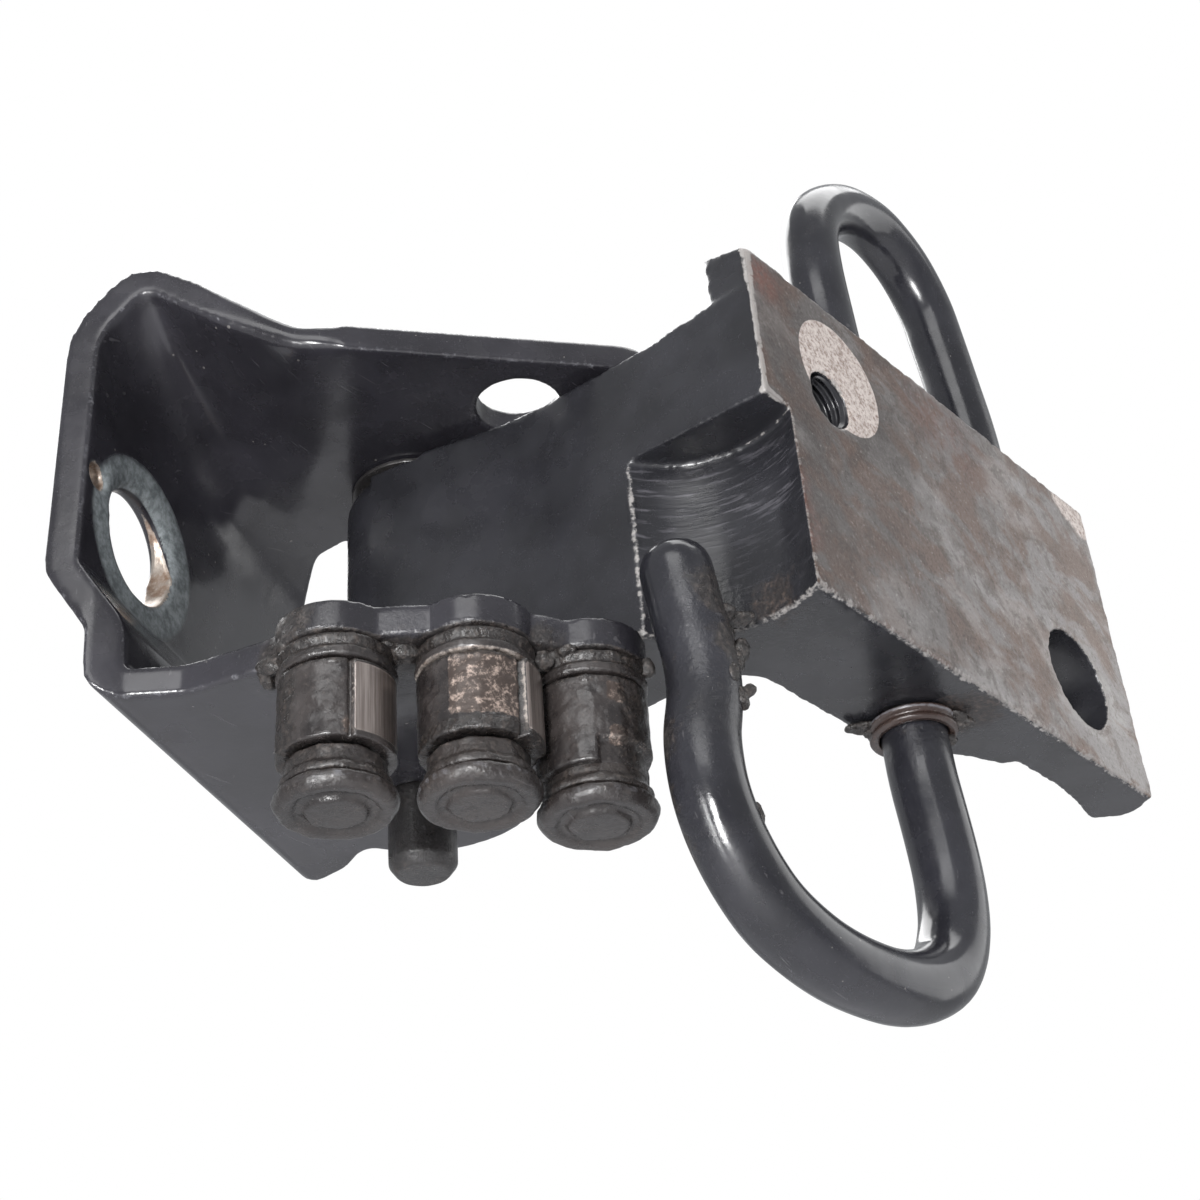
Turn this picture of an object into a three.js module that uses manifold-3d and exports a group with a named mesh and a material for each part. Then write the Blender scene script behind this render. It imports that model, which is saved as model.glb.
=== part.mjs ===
// Car door hinge with a built-in door check, as a three.js scene graph. Millimetres, +Z up.
//
// A folded steel bracket bolts to the door pillar. A forged leaf, bolted to the door, swings in the
// bracket on a vertical pin. A bent spring rod passes through the leaf: its free leg sweeps past
// three rollers on the bracket, which hold the door at its opening steps.
//
// World frame: the pillar face of the bracket is the plane x = 0, facing -X. The hinge axis is +Z.
// The bracket frame used below has its y = 0 at the bracket's front edge and z = 0 at the underside
// of the leaf; the last lines shift it so that the origin is the centre of the pillar face.

import * as THREE from "three";
import { mergeVertices } from "three/addons/utils/BufferGeometryUtils.js";
import Module from "manifold-3d";

const wasm = await Module();
wasm.setup();

// ---------------------------------------------------------------- driving dimensions (mm)

const GAP = 0.25; // clearance between pieces that rest on each other
const FIT = 0.2; // radial clearance of a pin or rod in its hole

const PILLAR_CENTRE = [0, 32, 26]; // centre of the pillar face, in the bracket frame

const HINGE = [30.2, 39.9]; // hinge axis in the bracket frame (x, y)
const PIN_R = 4.25;
const PIN_BOTTOM = -15.5;
const PIN_HEAD_R = 7.2;
const PIN_HEAD_T = 3.6;

const SHEET = 4; // thickness of the bracket's steel sheet
const EAR_BOTTOM = -5.1; // underside of the lower ear
const EAR_TOP = 46.3; // upper side of the upper ear
const EYE_R = 14.9; // rounded end of both ears around the hinge pin
const BRACKET_BACK = 56; // rear edge of the pillar wall
const BOLT_HOLE = { y: 13.9, z: 24.2, r: 7.5 };
const PILOT_HOLE = { y: 2.8, z: 27.8, r: 1.7 };
const TOOL_HOLE = { x: 49.9, y: 27.9, r: 5.5 };

const LEAF_ANGLE = -18.8; // direction of the leaf's arm at rest, degrees from +X
const BARREL_R = 9.3;
const ARM_TOP = 41.2; // clear of the upper ear
const ARM_TOP_OUTER = 42.4; // beyond the ear's reach
const ARM_FRONT = -4.57; // front face of the arm, in the leaf frame (y)
const PLATE_START = 58.85; // where the arm's front face meets the mounting face (x)
const PLATE_ANGLE = 85.7; // direction of the mounting face from the arm, degrees
const PLATE_LENGTH = 82.6;
const PLATE_TOP = 48.6; // at the mounting face; the top rises towards the back
const PLATE_TOP_RISE = 0.28; // per mm
const PLATE_T = 7.4;
const BOSS_T = 17;
const POCKET = { x: 51.1, y: -12.7, r: 15.15, top: 25.3 };
const TAPPED_HOLE = { along: 14.4, z: 32, r: 3.9, depth: 14 };
const PLAIN_HOLE = { along: 67.9, z: 13.4, r: 7.4 };

const ROD_R = 4.25;
const ROD_LOW = [51.1, 35.5, -8]; // straight part of the rod through the leaf, lower end
const ROD_HIGH = [49.5, 34.3, 64]; // and upper end, in the leaf frame
const ROD_RING_R = 5.6;
const ROD_RING_T = 2.2;

const ROLLER_ORBIT = 34; // distance of the roller axes from the hinge axis
const ROLLER_ANGLES = [-83, -57.2, -33.5]; // their directions, degrees from +X
const ROLLER_R = 6.5;
const ROLLER_TOP = -8.5;
const ROLLER_BOTTOM = -18.1;
const ROLLER_PIN_R = 3.5;
const ROLLER_HEAD_R = 6.7;
const ROLLER_HEAD_TOP = -22;
const ROLLER_HEAD_BOTTOM = -24.4;
const LOBE_R = 6.8;
const LOBE_RIM_R = 38.2;

const SIDES = 32; // facets round a full circle

// ---------------------------------------------------------------- materials

function paint(color, roughness, metalness) {
  return new THREE.MeshStandardMaterial({ color, roughness, metalness });
}

const BLACK_PAINT = paint(0x35363b, 0.35, 0.2);
const ROD_PAINT = paint(0x3a3b41, 0.25, 0.2);
const BARE_STEEL = paint(0x8d8580, 0.5, 0.8);
const WORN_STEEL = paint(0x6a625c, 0.5, 0.7);
const BRONZE = paint(0x8a6a3c, 0.5, 0.8);

// ---------------------------------------------------------------- solids

const radians = THREE.MathUtils.degToRad;

function solid(geometry) {
  const bare = geometry.index ? geometry.toNonIndexed() : geometry.clone();
  bare.deleteAttribute("normal");
  bare.deleteAttribute("uv");
  const merged = mergeVertices(bare, 1e-5);
  const vertProperties = new Float32Array(merged.attributes.position.array);
  const triVerts = new Uint32Array(merged.index.array);
  return new wasm.Manifold(new wasm.Mesh({ numProp: 3, vertProperties, triVerts }));
}

// A solid from a closed surface whose facets may all be wound the wrong way round.
function facingOut(geometry) {
  const direct = solid(geometry);
  if (direct.volume() > 0) {
    return direct;
  }
  const { array } = geometry.index;
  for (let i = 0; i < array.length; i += 3) {
    [array[i], array[i + 1]] = [array[i + 1], array[i]];
  }
  return solid(geometry);
}

function join(first, ...others) {
  return others.reduce((sum, other) => sum.add(other), first);
}

function cut(body, ...tools) {
  return tools.reduce((rest, tool) => rest.subtract(tool), body);
}

function toMesh(name, body, material) {
  const raw = body.getMesh();
  const geometry = new THREE.BufferGeometry();
  geometry.setAttribute("position", new THREE.BufferAttribute(new Float32Array(raw.vertProperties), 3));
  geometry.setIndex(new THREE.BufferAttribute(new Uint32Array(raw.triVerts), 1));
  geometry.computeVertexNormals();
  const mesh = new THREE.Mesh(geometry, material);
  mesh.name = name;
  return mesh;
}

// An upright cylinder between two heights.
function post(x, y, radius, low, high) {
  const geometry = new THREE.CylinderGeometry(radius, radius, high - low, SIDES);
  geometry.rotateX(Math.PI / 2);
  geometry.translate(x, y, (low + high) / 2);
  return solid(geometry);
}

// A cylinder between any two points.
function bar(from, to, radius) {
  const start = new THREE.Vector3(...from);
  const axis = new THREE.Vector3(...to).sub(start);
  const geometry = new THREE.CylinderGeometry(radius, radius, axis.length(), SIDES);
  const turn = new THREE.Quaternion().setFromUnitVectors(
    new THREE.Vector3(0, 1, 0),
    axis.clone().normalize(),
  );
  geometry.applyQuaternion(turn);
  geometry.translate(...start.add(axis.multiplyScalar(0.5)));
  return solid(geometry);
}

// A body of revolution about an upright axis: the profile is a list of [radius, z].
function turned(profile, x = 0, y = 0) {
  const points = profile.map(([r, z]) => new THREE.Vector2(r, z));
  const geometry = new THREE.LatheGeometry([...points, points[0].clone()], SIDES);
  geometry.rotateX(Math.PI / 2);
  geometry.translate(x, y, 0);
  return solid(geometry);
}

// A ring of rectangular section.
function ring(inner, outer, low, high, x = 0, y = 0) {
  return turned([[inner, low], [outer, low], [outer, high], [inner, high]], x, y);
}

function prism(shape, low, high) {
  const options = { depth: high - low, bevelEnabled: false, curveSegments: 8 };
  const geometry = new THREE.ExtrudeGeometry(shape, options);
  geometry.translate(0, 0, low);
  return solid(geometry);
}

// Points of a polyline whose corners are rounded: each corner is [x, y, radius].
function rounded(corners, closed = true, steps = 6) {
  const points = [];
  const count = corners.length;
  corners.forEach(([x, y, radius = 0], i) => {
    const corner = new THREE.Vector2(x, y);
    if (radius === 0 || (!closed && (i === 0 || i === count - 1))) {
      points.push(corner);
      return;
    }
    const before = new THREE.Vector2(...corners[(i + count - 1) % count].slice(0, 2));
    const after = new THREE.Vector2(...corners[(i + 1) % count].slice(0, 2));
    const back = before.sub(corner).normalize();
    const ahead = after.sub(corner).normalize();
    const half = Math.acos(THREE.MathUtils.clamp(back.dot(ahead), -1, 1)) / 2;
    const middle = back.clone().add(ahead).normalize();
    const centre = corner.clone().addScaledVector(middle, radius / Math.sin(half));
    const start = corner.clone().addScaledVector(back, radius / Math.tan(half)).sub(centre);
    const sweep = (Math.PI - 2 * half) * Math.sign(back.cross(ahead)) * -1;
    for (let k = 0; k <= steps; k += 1) {
      const arm = start.clone().rotateAround(new THREE.Vector2(), (sweep * k) / steps);
      points.push(centre.clone().add(arm));
    }
  });
  return points;
}

function outline(corners) {
  return new THREE.Shape(rounded(corners));
}

// The same corners moved sideways by a distance, to the right of the direction of travel.
function offsetCorners(corners, distance) {
  return corners.map(([x, y, radius = 0], i) => {
    const here = new THREE.Vector2(x, y);
    const previous = corners[i - 1];
    const next = corners[i + 1];
    const into = previous ? here.clone().sub(new THREE.Vector2(...previous.slice(0, 2))) : null;
    const out = next ? new THREE.Vector2(...next.slice(0, 2)).sub(here) : null;
    const a = (into ?? out).normalize();
    const b = (out ?? into).normalize();
    const side = new THREE.Vector2(a.y + b.y, -a.x - b.x).normalize();
    const reach = distance / side.dot(new THREE.Vector2(a.y, -a.x));
    const turnsRight = a.cross(b) < 0;
    const newRadius = radius === 0 ? 0 : radius + (turnsRight ? -distance : distance);
    return [x + side.x * reach, y + side.y * reach, newRadius];
  });
}

// ---------------------------------------------------------------- pillar bracket

// Section of the folded sheet in the x-z plane, outer side, from the lower ear round to the upper.
// The corner above the wall is raised at the front edge and fades into a plain bend by FADE_END.
const FADE_END = 31;

function sectionAt(y) {
  const fade = THREE.MathUtils.clamp(y / FADE_END, 0, 1);
  const blend = (front, rear) => front + (rear - front) * fade;
  return [
    [95, EAR_BOTTOM],
    [5.8, EAR_BOTTOM, 3.6],
    [5.3, 4, 3],
    [0, 12.4, 5],
    [0, blend(49.5, 41), 13],
    [8.3, blend(61, EAR_TOP + 0.3), 5.5],
    [blend(31.5, 20), EAR_TOP, 3],
    [95, EAR_TOP],
  ];
}

// Triangles that fill a closed loop of points, wound the same way as the loop.
function capTriangles(loop) {
  const turn = Math.sign(THREE.ShapeUtils.area(loop));
  return THREE.ShapeUtils.triangulateShape(loop, []).map(([a, b, c]) => {
    const same = Math.sign(THREE.ShapeUtils.area([loop[a], loop[b], loop[c]])) === turn;
    return same ? [a, b, c] : [c, b, a];
  });
}

function foldedSheet() {
  const stations = [-8, 0, 8, 16, 24, FADE_END, BRACKET_BACK + 5];
  const loops = stations.map((y) => {
    const outer = rounded(sectionAt(y), false, 5);
    const inner = rounded(offsetCorners(sectionAt(y), SHEET), false, 5).reverse();
    return [...outer, ...inner];
  });
  const size = loops[0].length;
  const positions = loops.flatMap((loop, i) => loop.flatMap(({ x, y: z }) => [x, stations[i], z]));
  const index = [];
  for (let i = 0; i < loops.length - 1; i += 1) {
    for (let k = 0; k < size; k += 1) {
      const a = i * size + k;
      const b = i * size + ((k + 1) % size);
      index.push(a, b, b + size, a, b + size, a + size);
    }
  }
  const last = (loops.length - 1) * size;
  capTriangles(loops[0]).forEach(([a, b, c]) => index.push(c, b, a));
  capTriangles(loops[loops.length - 1]).forEach(([a, b, c]) => index.push(last + a, last + b, last + c));
  const geometry = new THREE.BufferGeometry();
  geometry.setAttribute("position", new THREE.Float32BufferAttribute(positions, 3));
  geometry.setIndex(index);
  return facingOut(geometry);
}

function rollerCentre(i) {
  const angle = radians(ROLLER_ANGLES[i]);
  return [HINGE[0] + ROLLER_ORBIT * Math.cos(angle), HINGE[1] + ROLLER_ORBIT * Math.sin(angle)];
}

function onOrbit(radius, degrees) {
  const angle = radians(degrees);
  return [HINGE[0] + radius * Math.cos(angle), HINGE[1] + radius * Math.sin(angle)];
}

// Lower ear seen from above: front edge, scalloped roller rim, eye round the pin, rear notch.
function lowerEarPlan(low, high) {
  const [first, , last] = ROLLER_ANGLES;
  const rim = [];
  for (let k = 0; k <= 12; k += 1) {
    rim.push([...onOrbit(LOBE_RIM_R, first + ((last - first) * k) / 12)]);
  }
  const body = outline([
    [-2, -1.5],
    [6, 0.3],
    [10, 3],
    [16, 5, 4],
    [26, 4.2, 3],
    ...rim,
    [...onOrbit(LOBE_RIM_R - 4, last + 10), 3],
    [...onOrbit(EYE_R - 1, 43)],
    [...onOrbit(EYE_R - 1, 117)],
    [18.2, 49.2, 3],
    [13.6, 53.4, 3],
    [9.8, BRACKET_BACK - 1, 2],
    [5.5, BRACKET_BACK],
    [-2, BRACKET_BACK],
  ]);
  const lobes = ROLLER_ANGLES.map((_, i) => post(...rollerCentre(i), LOBE_R, low, high));
  return join(prism(body, low, high), post(...HINGE, EYE_R, low, high), ...lobes);
}

// Upper ear seen from above: straight front edge with a rounded nose, eye, deeper rear notch.
function upperEarPlan(low, high) {
  const body = outline([
    [-2, -1.5],
    [6, 0.3],
    [10.5, 1.4],
    [30.5, 6.2, 12],
    [70.5, 28.7, 6],
    [64, 38, 8],
    [...onOrbit(EYE_R - 1, 39)],
    [...onOrbit(EYE_R - 1, 128)],
    [17.5, 46.2, 2],
    [11.5, 48.2, 5],
    [5.5, BRACKET_BACK],
    [-2, BRACKET_BACK],
  ]);
  return join(prism(body, low, high), post(...HINGE, EYE_R, low, high));
}

function pillarBracket() {
  const split = 20;
  const plan = join(lowerEarPlan(-20, split), upperEarPlan(split, 80));
  const shell = foldedSheet().intersect(plan);
  const pinHole = post(...HINGE, PIN_R + FIT, -20, 80);
  const toolHole = post(TOOL_HOLE.x, TOOL_HOLE.y, TOOL_HOLE.r, 40, 60);
  const rivetHoles = ROLLER_ANGLES.map((_, i) => post(...rollerCentre(i), ROLLER_PIN_R + FIT, -20, 10));
  const wallHoles = [BOLT_HOLE, PILOT_HOLE].map(({ y, z, r }) => bar([-10, y, z], [15, y, z], r));
  return cut(shell, pinHole, toolHole, ...rivetHoles, ...wallHoles);
}

// ---------------------------------------------------------------- hinge pin and its bearings

function hingePin() {
  const headLow = EAR_TOP + GAP;
  const headHigh = headLow + PIN_HEAD_T;
  return turned([
    [0, PIN_BOTTOM],
    [PIN_R - 1, PIN_BOTTOM],
    [PIN_R, PIN_BOTTOM + 1.4],
    [PIN_R, headLow],
    [PIN_HEAD_R, headLow],
    [PIN_HEAD_R, headHigh - 1.2],
    [PIN_HEAD_R - 1.6, headHigh],
    [0, headHigh],
  ]);
}

const BUSH_OUTER = 6;
const BUSH_LENGTH = 14;

function barrelBush(low) {
  return ring(PIN_R + FIT, BUSH_OUTER, low, low + BUSH_LENGTH);
}

function thrustWasher(low, high) {
  return ring(PIN_R + FIT, BARREL_R - 0.6, low, high);
}

// ---------------------------------------------------------------- door leaf (leaf frame: hinge at 0)

// A point of the plate: distance along the mounting face, and depth behind it.
function onPlate(along, depth) {
  const angle = radians(PLATE_ANGLE);
  return [
    PLATE_START + along * Math.cos(angle) - depth * Math.sin(angle),
    ARM_FRONT + along * Math.sin(angle) + depth * Math.cos(angle),
  ];
}

// The plate's far end: a rounded nose with a low lip on its back.
function plateEnd() {
  return [
    [...onPlate(PLATE_LENGTH, 0), 0.8],
    [...onPlate(PLATE_LENGTH + 2.2, 5), 3],
    [...onPlate(PLATE_LENGTH - 1, 9.6), 2],
    [...onPlate(PLATE_LENGTH - 6, 8.2), 6],
    [...onPlate(PLATE_LENGTH - 12, PLATE_T), 6],
  ];
}

function leafBody() {
  const arm = outline([
    [0, ARM_FRONT],
    [...onPlate(0, 0)],
    ...plateEnd(),
    [...onPlate(59.3, PLATE_T), 2],
    [...onPlate(57.6, 9.3), 3],
    [...onPlate(50.5, 12.2), 4],
    [...onPlate(46.5, BOSS_T), 4],
    [...onPlate(13, BOSS_T), 6],
    [...onPlate(13, BOSS_T + 8).map((value, i) => (i === 1 ? BARREL_R : value)), 0],
    [0, BARREL_R],
  ]);
  const plate = outline([[...onPlate(0, 0), 0.8], ...plateEnd(), [...onPlate(0, PLATE_T - 0.6), 0.8]]);
  return join(
    prism(arm, 0, 50).intersect(armSide()),
    cut(prism(plate, ARM_TOP - 1, PLATE_TOP + 4), aboveTop()),
    post(0, 0, BARREL_R, 0, ARM_TOP),
    anchorLug(),
  );
}

// Side view of the arm, as wide as the whole leaf: level top near the barrel, then a slight rise.
function armSide() {
  const side = outline([[-20, 0], [95, 0], [95, ARM_TOP_OUTER], [52, ARM_TOP_OUTER], [42.5, ARM_TOP], [-20, ARM_TOP]]);
  const geometry = new THREE.ExtrudeGeometry(side, { depth: 120, bevelEnabled: false });
  geometry.rotateX(Math.PI / 2);
  geometry.translate(0, 100, 0);
  return solid(geometry);
}

// Everything above the plate's tilted top.
function aboveTop() {
  const wedge = outline([
    [-10, PLATE_TOP - 10 * PLATE_TOP_RISE],
    [20, PLATE_TOP + 20 * PLATE_TOP_RISE],
    [20, PLATE_TOP + 30],
    [-10, PLATE_TOP + 30],
  ]);
  const geometry = new THREE.ExtrudeGeometry(wedge, { depth: 120, bevelEnabled: false });
  geometry.rotateX(Math.PI / 2);
  geometry.translate(0, 10, 0);
  geometry.rotateZ(radians(PLATE_ANGLE));
  geometry.rotateZ(Math.PI / 2);
  geometry.translate(...onPlate(0, 0), 0);
  return solid(geometry);
}

// Lug on the back of the plate that holds the rod's fixed end.
const LUG = { along: 76.2, depth: 12.3, low: 24, high: 40, r: 7 };

function anchorLug() {
  const [x, y] = onPlate(LUG.along, LUG.depth);
  const web = outline([
    onPlate(LUG.along - LUG.r, PLATE_T - 2),
    onPlate(LUG.along + LUG.r, PLATE_T - 2),
    onPlate(LUG.along + LUG.r, LUG.depth),
    onPlate(LUG.along - LUG.r, LUG.depth),
  ]);
  return join(prism(web, LUG.low, LUG.high), post(x, y, LUG.r, LUG.low, LUG.high));
}

function throughPlate(hole, near, far) {
  const at = (depth) => [...onPlate(hole.along, depth), hole.z];
  return bar(at(near), at(far), hole.r);
}

function doorLeaf() {
  const [lugX, lugY] = onPlate(LUG.along, LUG.depth);
  const stretch = new THREE.Vector3(...ROD_HIGH).sub(new THREE.Vector3(...ROD_LOW));
  const beyond = new THREE.Vector3(...ROD_LOW).addScaledVector(stretch, -0.1);
  return cut(
    leafBody(),
    post(POCKET.x, POCKET.y, POCKET.r, -5, POCKET.top),
    post(0, 0, BUSH_OUTER + FIT, -5, ARM_TOP + 5),
    bar([...beyond], ROD_HIGH, ROD_R + FIT),
    post(lugX, lugY, ROD_R + FIT, LUG.low - 5, PLATE_TOP + 5),
    throughPlate(TAPPED_HOLE, -5, TAPPED_HOLE.depth),
    throughPlate(PLAIN_HOLE, -5, PLATE_T + 4),
  );
}

// ---------------------------------------------------------------- torsion rod (leaf frame)

// Centre line of the bent rod, from its fixed end in the lug to its free tip in the pocket.
function rodPath() {
  const along = (distance, z) => {
    const angle = radians(PLATE_ANGLE);
    return new THREE.Vector3(
      ROD_HIGH[0] + distance * Math.cos(angle),
      ROD_HIGH[1] + distance * Math.sin(angle),
      z,
    );
  };
  const leg = [45.7, -4.8];
  const across = (share, z) => {
    const x = ROD_LOW[0] + (leg[0] - ROD_LOW[0]) * share;
    const y = ROD_LOW[1] + (leg[1] - ROD_LOW[1]) * share;
    return new THREE.Vector3(x, y, z);
  };
  const high = new THREE.Vector3(...ROD_HIGH);
  const low = new THREE.Vector3(...ROD_LOW);
  const [lugX, lugY] = onPlate(LUG.along, LUG.depth);
  return new THREE.CatmullRomCurve3(
    [
      new THREE.Vector3(lugX, lugY, LUG.low - 3),
      new THREE.Vector3(lugX, lugY, LUG.low + 6),
      new THREE.Vector3(lugX, lugY, LUG.high),
      new THREE.Vector3(lugX, lugY, PLATE_TOP + 4),
      new THREE.Vector3(lugX, lugY, PLATE_TOP + 9),
      along(38, 66),
      along(36, 75.5),
      along(34.2, 83),
      along(31.9, 90.6),
      along(27.2, 96.4),
      along(19.8, 99.1),
      along(11.4, 97.2),
      along(4.1, 91.8),
      along(0, 85.5),
      along(-1, 77),
      high,
      ...[0.2, 0.5, 0.8, 0.95, 1].map((share) => high.clone().lerp(low, share)),
      across(-0.04, -22),
      across(-0.01, -29),
      across(0.08, -34.7),
      across(0.27, -38.3),
      across(0.48, -39),
      across(0.67, -37.9),
      across(0.84, -34.8),
      across(0.96, -29.3),
      across(1.02, -23.6),
      across(1.03, -17.5),
      across(1, -11.5),
      across(1, -6.5),
      new THREE.Vector3(45.5, -6, -1.5),
      new THREE.Vector3(45.3, -7, 3.5),
    ],
    false,
    "centripetal",
  );
}

function torsionRod() {
  const section = new THREE.Shape();
  section.absarc(0, 0, ROD_R, 0, 2 * Math.PI, false);
  const geometry = new THREE.ExtrudeGeometry(section, {
    steps: 84,
    curveSegments: 8,
    extrudePath: rodPath(),
    bevelEnabled: false,
  });
  return solid(geometry);
}

// Rounded nose on the free tip of the rod.
function rodTip() {
  const path = rodPath();
  const end = path.getPointAt(1);
  const turn = new THREE.Quaternion().setFromUnitVectors(
    new THREE.Vector3(0, 1, 0),
    path.getTangentAt(1).normalize(),
  );
  const profile = [[0, -3], [ROD_R - 0.01, -3], [ROD_R - 0.01, 1.4], [3.6, 3], [2.4, 4.1], [0, 4.6]];
  const geometry = new THREE.LatheGeometry(
    [...profile, profile[0]].map(([r, z]) => new THREE.Vector2(r, z)),
    SIDES,
  );
  geometry.applyQuaternion(turn);
  geometry.translate(end.x, end.y, end.z);
  return solid(geometry);
}

// Ring pressed on the rod against the leaf; its axis follows the rod.
function rodRing() {
  const low = -GAP - ROD_RING_T;
  const start = new THREE.Vector3(...ROD_LOW);
  const slope = new THREE.Vector3(...ROD_HIGH).sub(start);
  const at = (z) => start.clone().addScaledVector(slope, (z - start.z) / slope.z);
  const outer = bar(at(low), at(low + ROD_RING_T), ROD_RING_R);
  return cut(outer, bar(at(low - 2), at(low + ROD_RING_T + 2), ROD_R + FIT));
}

// ---------------------------------------------------------------- rollers

function rollerPin() {
  return turned([
    [0, ROLLER_HEAD_BOTTOM + 0.7],
    [3.6, ROLLER_HEAD_BOTTOM + 0.7],
    [4.3, ROLLER_HEAD_BOTTOM],
    [ROLLER_HEAD_R - 1, ROLLER_HEAD_BOTTOM],
    [ROLLER_HEAD_R, ROLLER_HEAD_BOTTOM + 1],
    [ROLLER_HEAD_R, ROLLER_HEAD_TOP],
    [ROLLER_PIN_R, ROLLER_HEAD_TOP],
    [ROLLER_PIN_R, EAR_BOTTOM + SHEET - 0.1],
    [0, EAR_BOTTOM + SHEET - 0.1],
  ]);
}

function rollerWasher() {
  return ring(ROLLER_PIN_R + FIT, ROLLER_R + 0.2, ROLLER_TOP + GAP, EAR_BOTTOM - GAP);
}

function rollerSleeve() {
  const inner = ROLLER_PIN_R + FIT;
  return turned([
    [inner, ROLLER_BOTTOM],
    [ROLLER_R - 0.4, ROLLER_BOTTOM],
    [ROLLER_R, ROLLER_BOTTOM + 0.4],
    [ROLLER_R, ROLLER_TOP - 0.4],
    [ROLLER_R - 0.4, ROLLER_TOP],
    [inner, ROLLER_TOP],
  ]);
}

function rollerSpacer() {
  return ring(ROLLER_PIN_R + FIT, ROLLER_R - 0.8, ROLLER_HEAD_TOP + GAP, ROLLER_BOTTOM - GAP);
}

// ---------------------------------------------------------------- assembly

const hinge = new THREE.Group();
hinge.position.set(-PILLAR_CENTRE[0], -PILLAR_CENTRE[1], -PILLAR_CENTRE[2]);

hinge.add(toMesh("pillar_bracket", pillarBracket(), BLACK_PAINT));

const onAxis = new THREE.Group();
onAxis.position.set(HINGE[0], HINGE[1], 0);
onAxis.add(toMesh("hinge_pin", hingePin(), BLACK_PAINT));
onAxis.add(toMesh("lower_thrust_washer", thrustWasher(EAR_BOTTOM + SHEET + GAP, -GAP), BRONZE));
onAxis.add(toMesh("upper_thrust_washer", thrustWasher(ARM_TOP + GAP, EAR_TOP - SHEET - GAP), BRONZE));
hinge.add(onAxis);

const leaf = new THREE.Group();
leaf.position.set(HINGE[0], HINGE[1], 0);
leaf.rotation.z = radians(LEAF_ANGLE);
leaf.add(toMesh("door_leaf", doorLeaf(), BARE_STEEL));
leaf.add(toMesh("torsion_rod", join(torsionRod(), rodTip()), ROD_PAINT));
leaf.add(toMesh("rod_ring", rodRing(), BLACK_PAINT));
leaf.add(toMesh("lower_barrel_bush", barrelBush(0.2), BRONZE));
leaf.add(toMesh("upper_barrel_bush", barrelBush(ARM_TOP - 0.2 - BUSH_LENGTH), BRONZE));
hinge.add(leaf);

ROLLER_ANGLES.forEach((_, i) => {
  const stack = new THREE.Group();
  stack.position.set(...rollerCentre(i), 0);
  const number = i + 1;
  stack.add(toMesh(`roller_pin_${number}`, rollerPin(), BLACK_PAINT));
  stack.add(toMesh(`roller_washer_${number}`, rollerWasher(), WORN_STEEL));
  stack.add(toMesh(`roller_sleeve_${number}`, rollerSleeve(), WORN_STEEL));
  stack.add(toMesh(`roller_spacer_${number}`, rollerSpacer(), BLACK_PAINT));
  hinge.add(stack);
});

const object = new THREE.Group();
object.add(hinge);

export default object;
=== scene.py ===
"""Used car door hinge with a torsion rod door check.

Lengths are millimetres. In the bracket frame x = 0 is the pillar face, y = 0 the bracket's front
edge and z = 0 the underside of the door leaf. The leaf frame turns with the leaf about the hinge
axis. world() turns bracket frame points into metres in the shared frame.
"""

import math

import bmesh
import bpy
import numpy as np
from mathutils import Matrix, Vector, noise

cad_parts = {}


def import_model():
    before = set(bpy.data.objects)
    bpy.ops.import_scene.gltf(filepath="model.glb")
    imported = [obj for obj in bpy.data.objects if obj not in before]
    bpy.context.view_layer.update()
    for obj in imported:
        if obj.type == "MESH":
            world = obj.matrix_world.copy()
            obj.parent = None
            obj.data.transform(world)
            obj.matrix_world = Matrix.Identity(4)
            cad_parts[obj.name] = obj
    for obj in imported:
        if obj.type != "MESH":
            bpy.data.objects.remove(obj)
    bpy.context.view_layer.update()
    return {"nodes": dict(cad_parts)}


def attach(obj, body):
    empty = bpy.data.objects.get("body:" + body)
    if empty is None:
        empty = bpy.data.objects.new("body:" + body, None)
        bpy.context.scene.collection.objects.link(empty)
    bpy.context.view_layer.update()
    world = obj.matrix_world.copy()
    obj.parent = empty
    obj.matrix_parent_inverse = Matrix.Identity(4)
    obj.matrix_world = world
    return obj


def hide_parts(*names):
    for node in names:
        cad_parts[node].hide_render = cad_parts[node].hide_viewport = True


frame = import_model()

MM = 0.001
X_AXIS = np.array([1.0, 0.0, 0.0])
Z_AXIS = np.array([0.0, 0.0, 1.0])

# Bracket frame
ORIGIN = np.array([0.0, 32.0, 26.0])  # of the shared frame
HINGE = np.array([30.2, 39.9, 0.0])
EAR_RADIUS = 14.9
LOBE_RADIUS = 6.8
ROLLER_ORBIT = 34.0
ROLLER_ANGLES = [-83.0, -57.2, -33.5]
BOLT_HOLE = np.array([0, 13.9, 24.2])
BOLT_HOLE_RADIUS = 7.5
PILOT_HOLE = np.array([0, 2.8, 27.8])
EAR_HOLE = np.array([49.9, 27.9, 44])
EAR_HOLE_RADIUS = 5.5

# Leaf frame: the arm points along x
LEAF_TURN = math.radians(-18.8)
BARREL_RADIUS = 9.3
ARM_FRONT = -4.57
BLEND_END = 26
PLATE_TURN = math.radians(85.7)
PLATE_CORNER = np.array([58.85, -4.57, 0.0])
POCKET = np.array([51.1, -12.7, 0])
POCKET_RADIUS = 15.15

# On the mounting face: distance along it and height
BIG_HOLE, BIG_HOLE_RADIUS = (67.9, 13.4), 7.4
TAPPED_HOLE, TAPPED_HOLE_RADIUS = (14.4, 32.0), 3.9
WASHER_MARK, WASHER_MARK_RADIUS = (17.3, 37.0), 8.4

# Torsion rod, in the leaf frame: the straight length through the leaf, and the free leg's foot
ROD_RADIUS = 4.25
ROD_HIGH = np.array([49.5, 34.3, 64.0])
ROD_LOW = np.array([51.1, 35.5, -8.0])
ROD_LEG = np.array([45.7, -4.8, 0.0])


# ---------- coordinates


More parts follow.
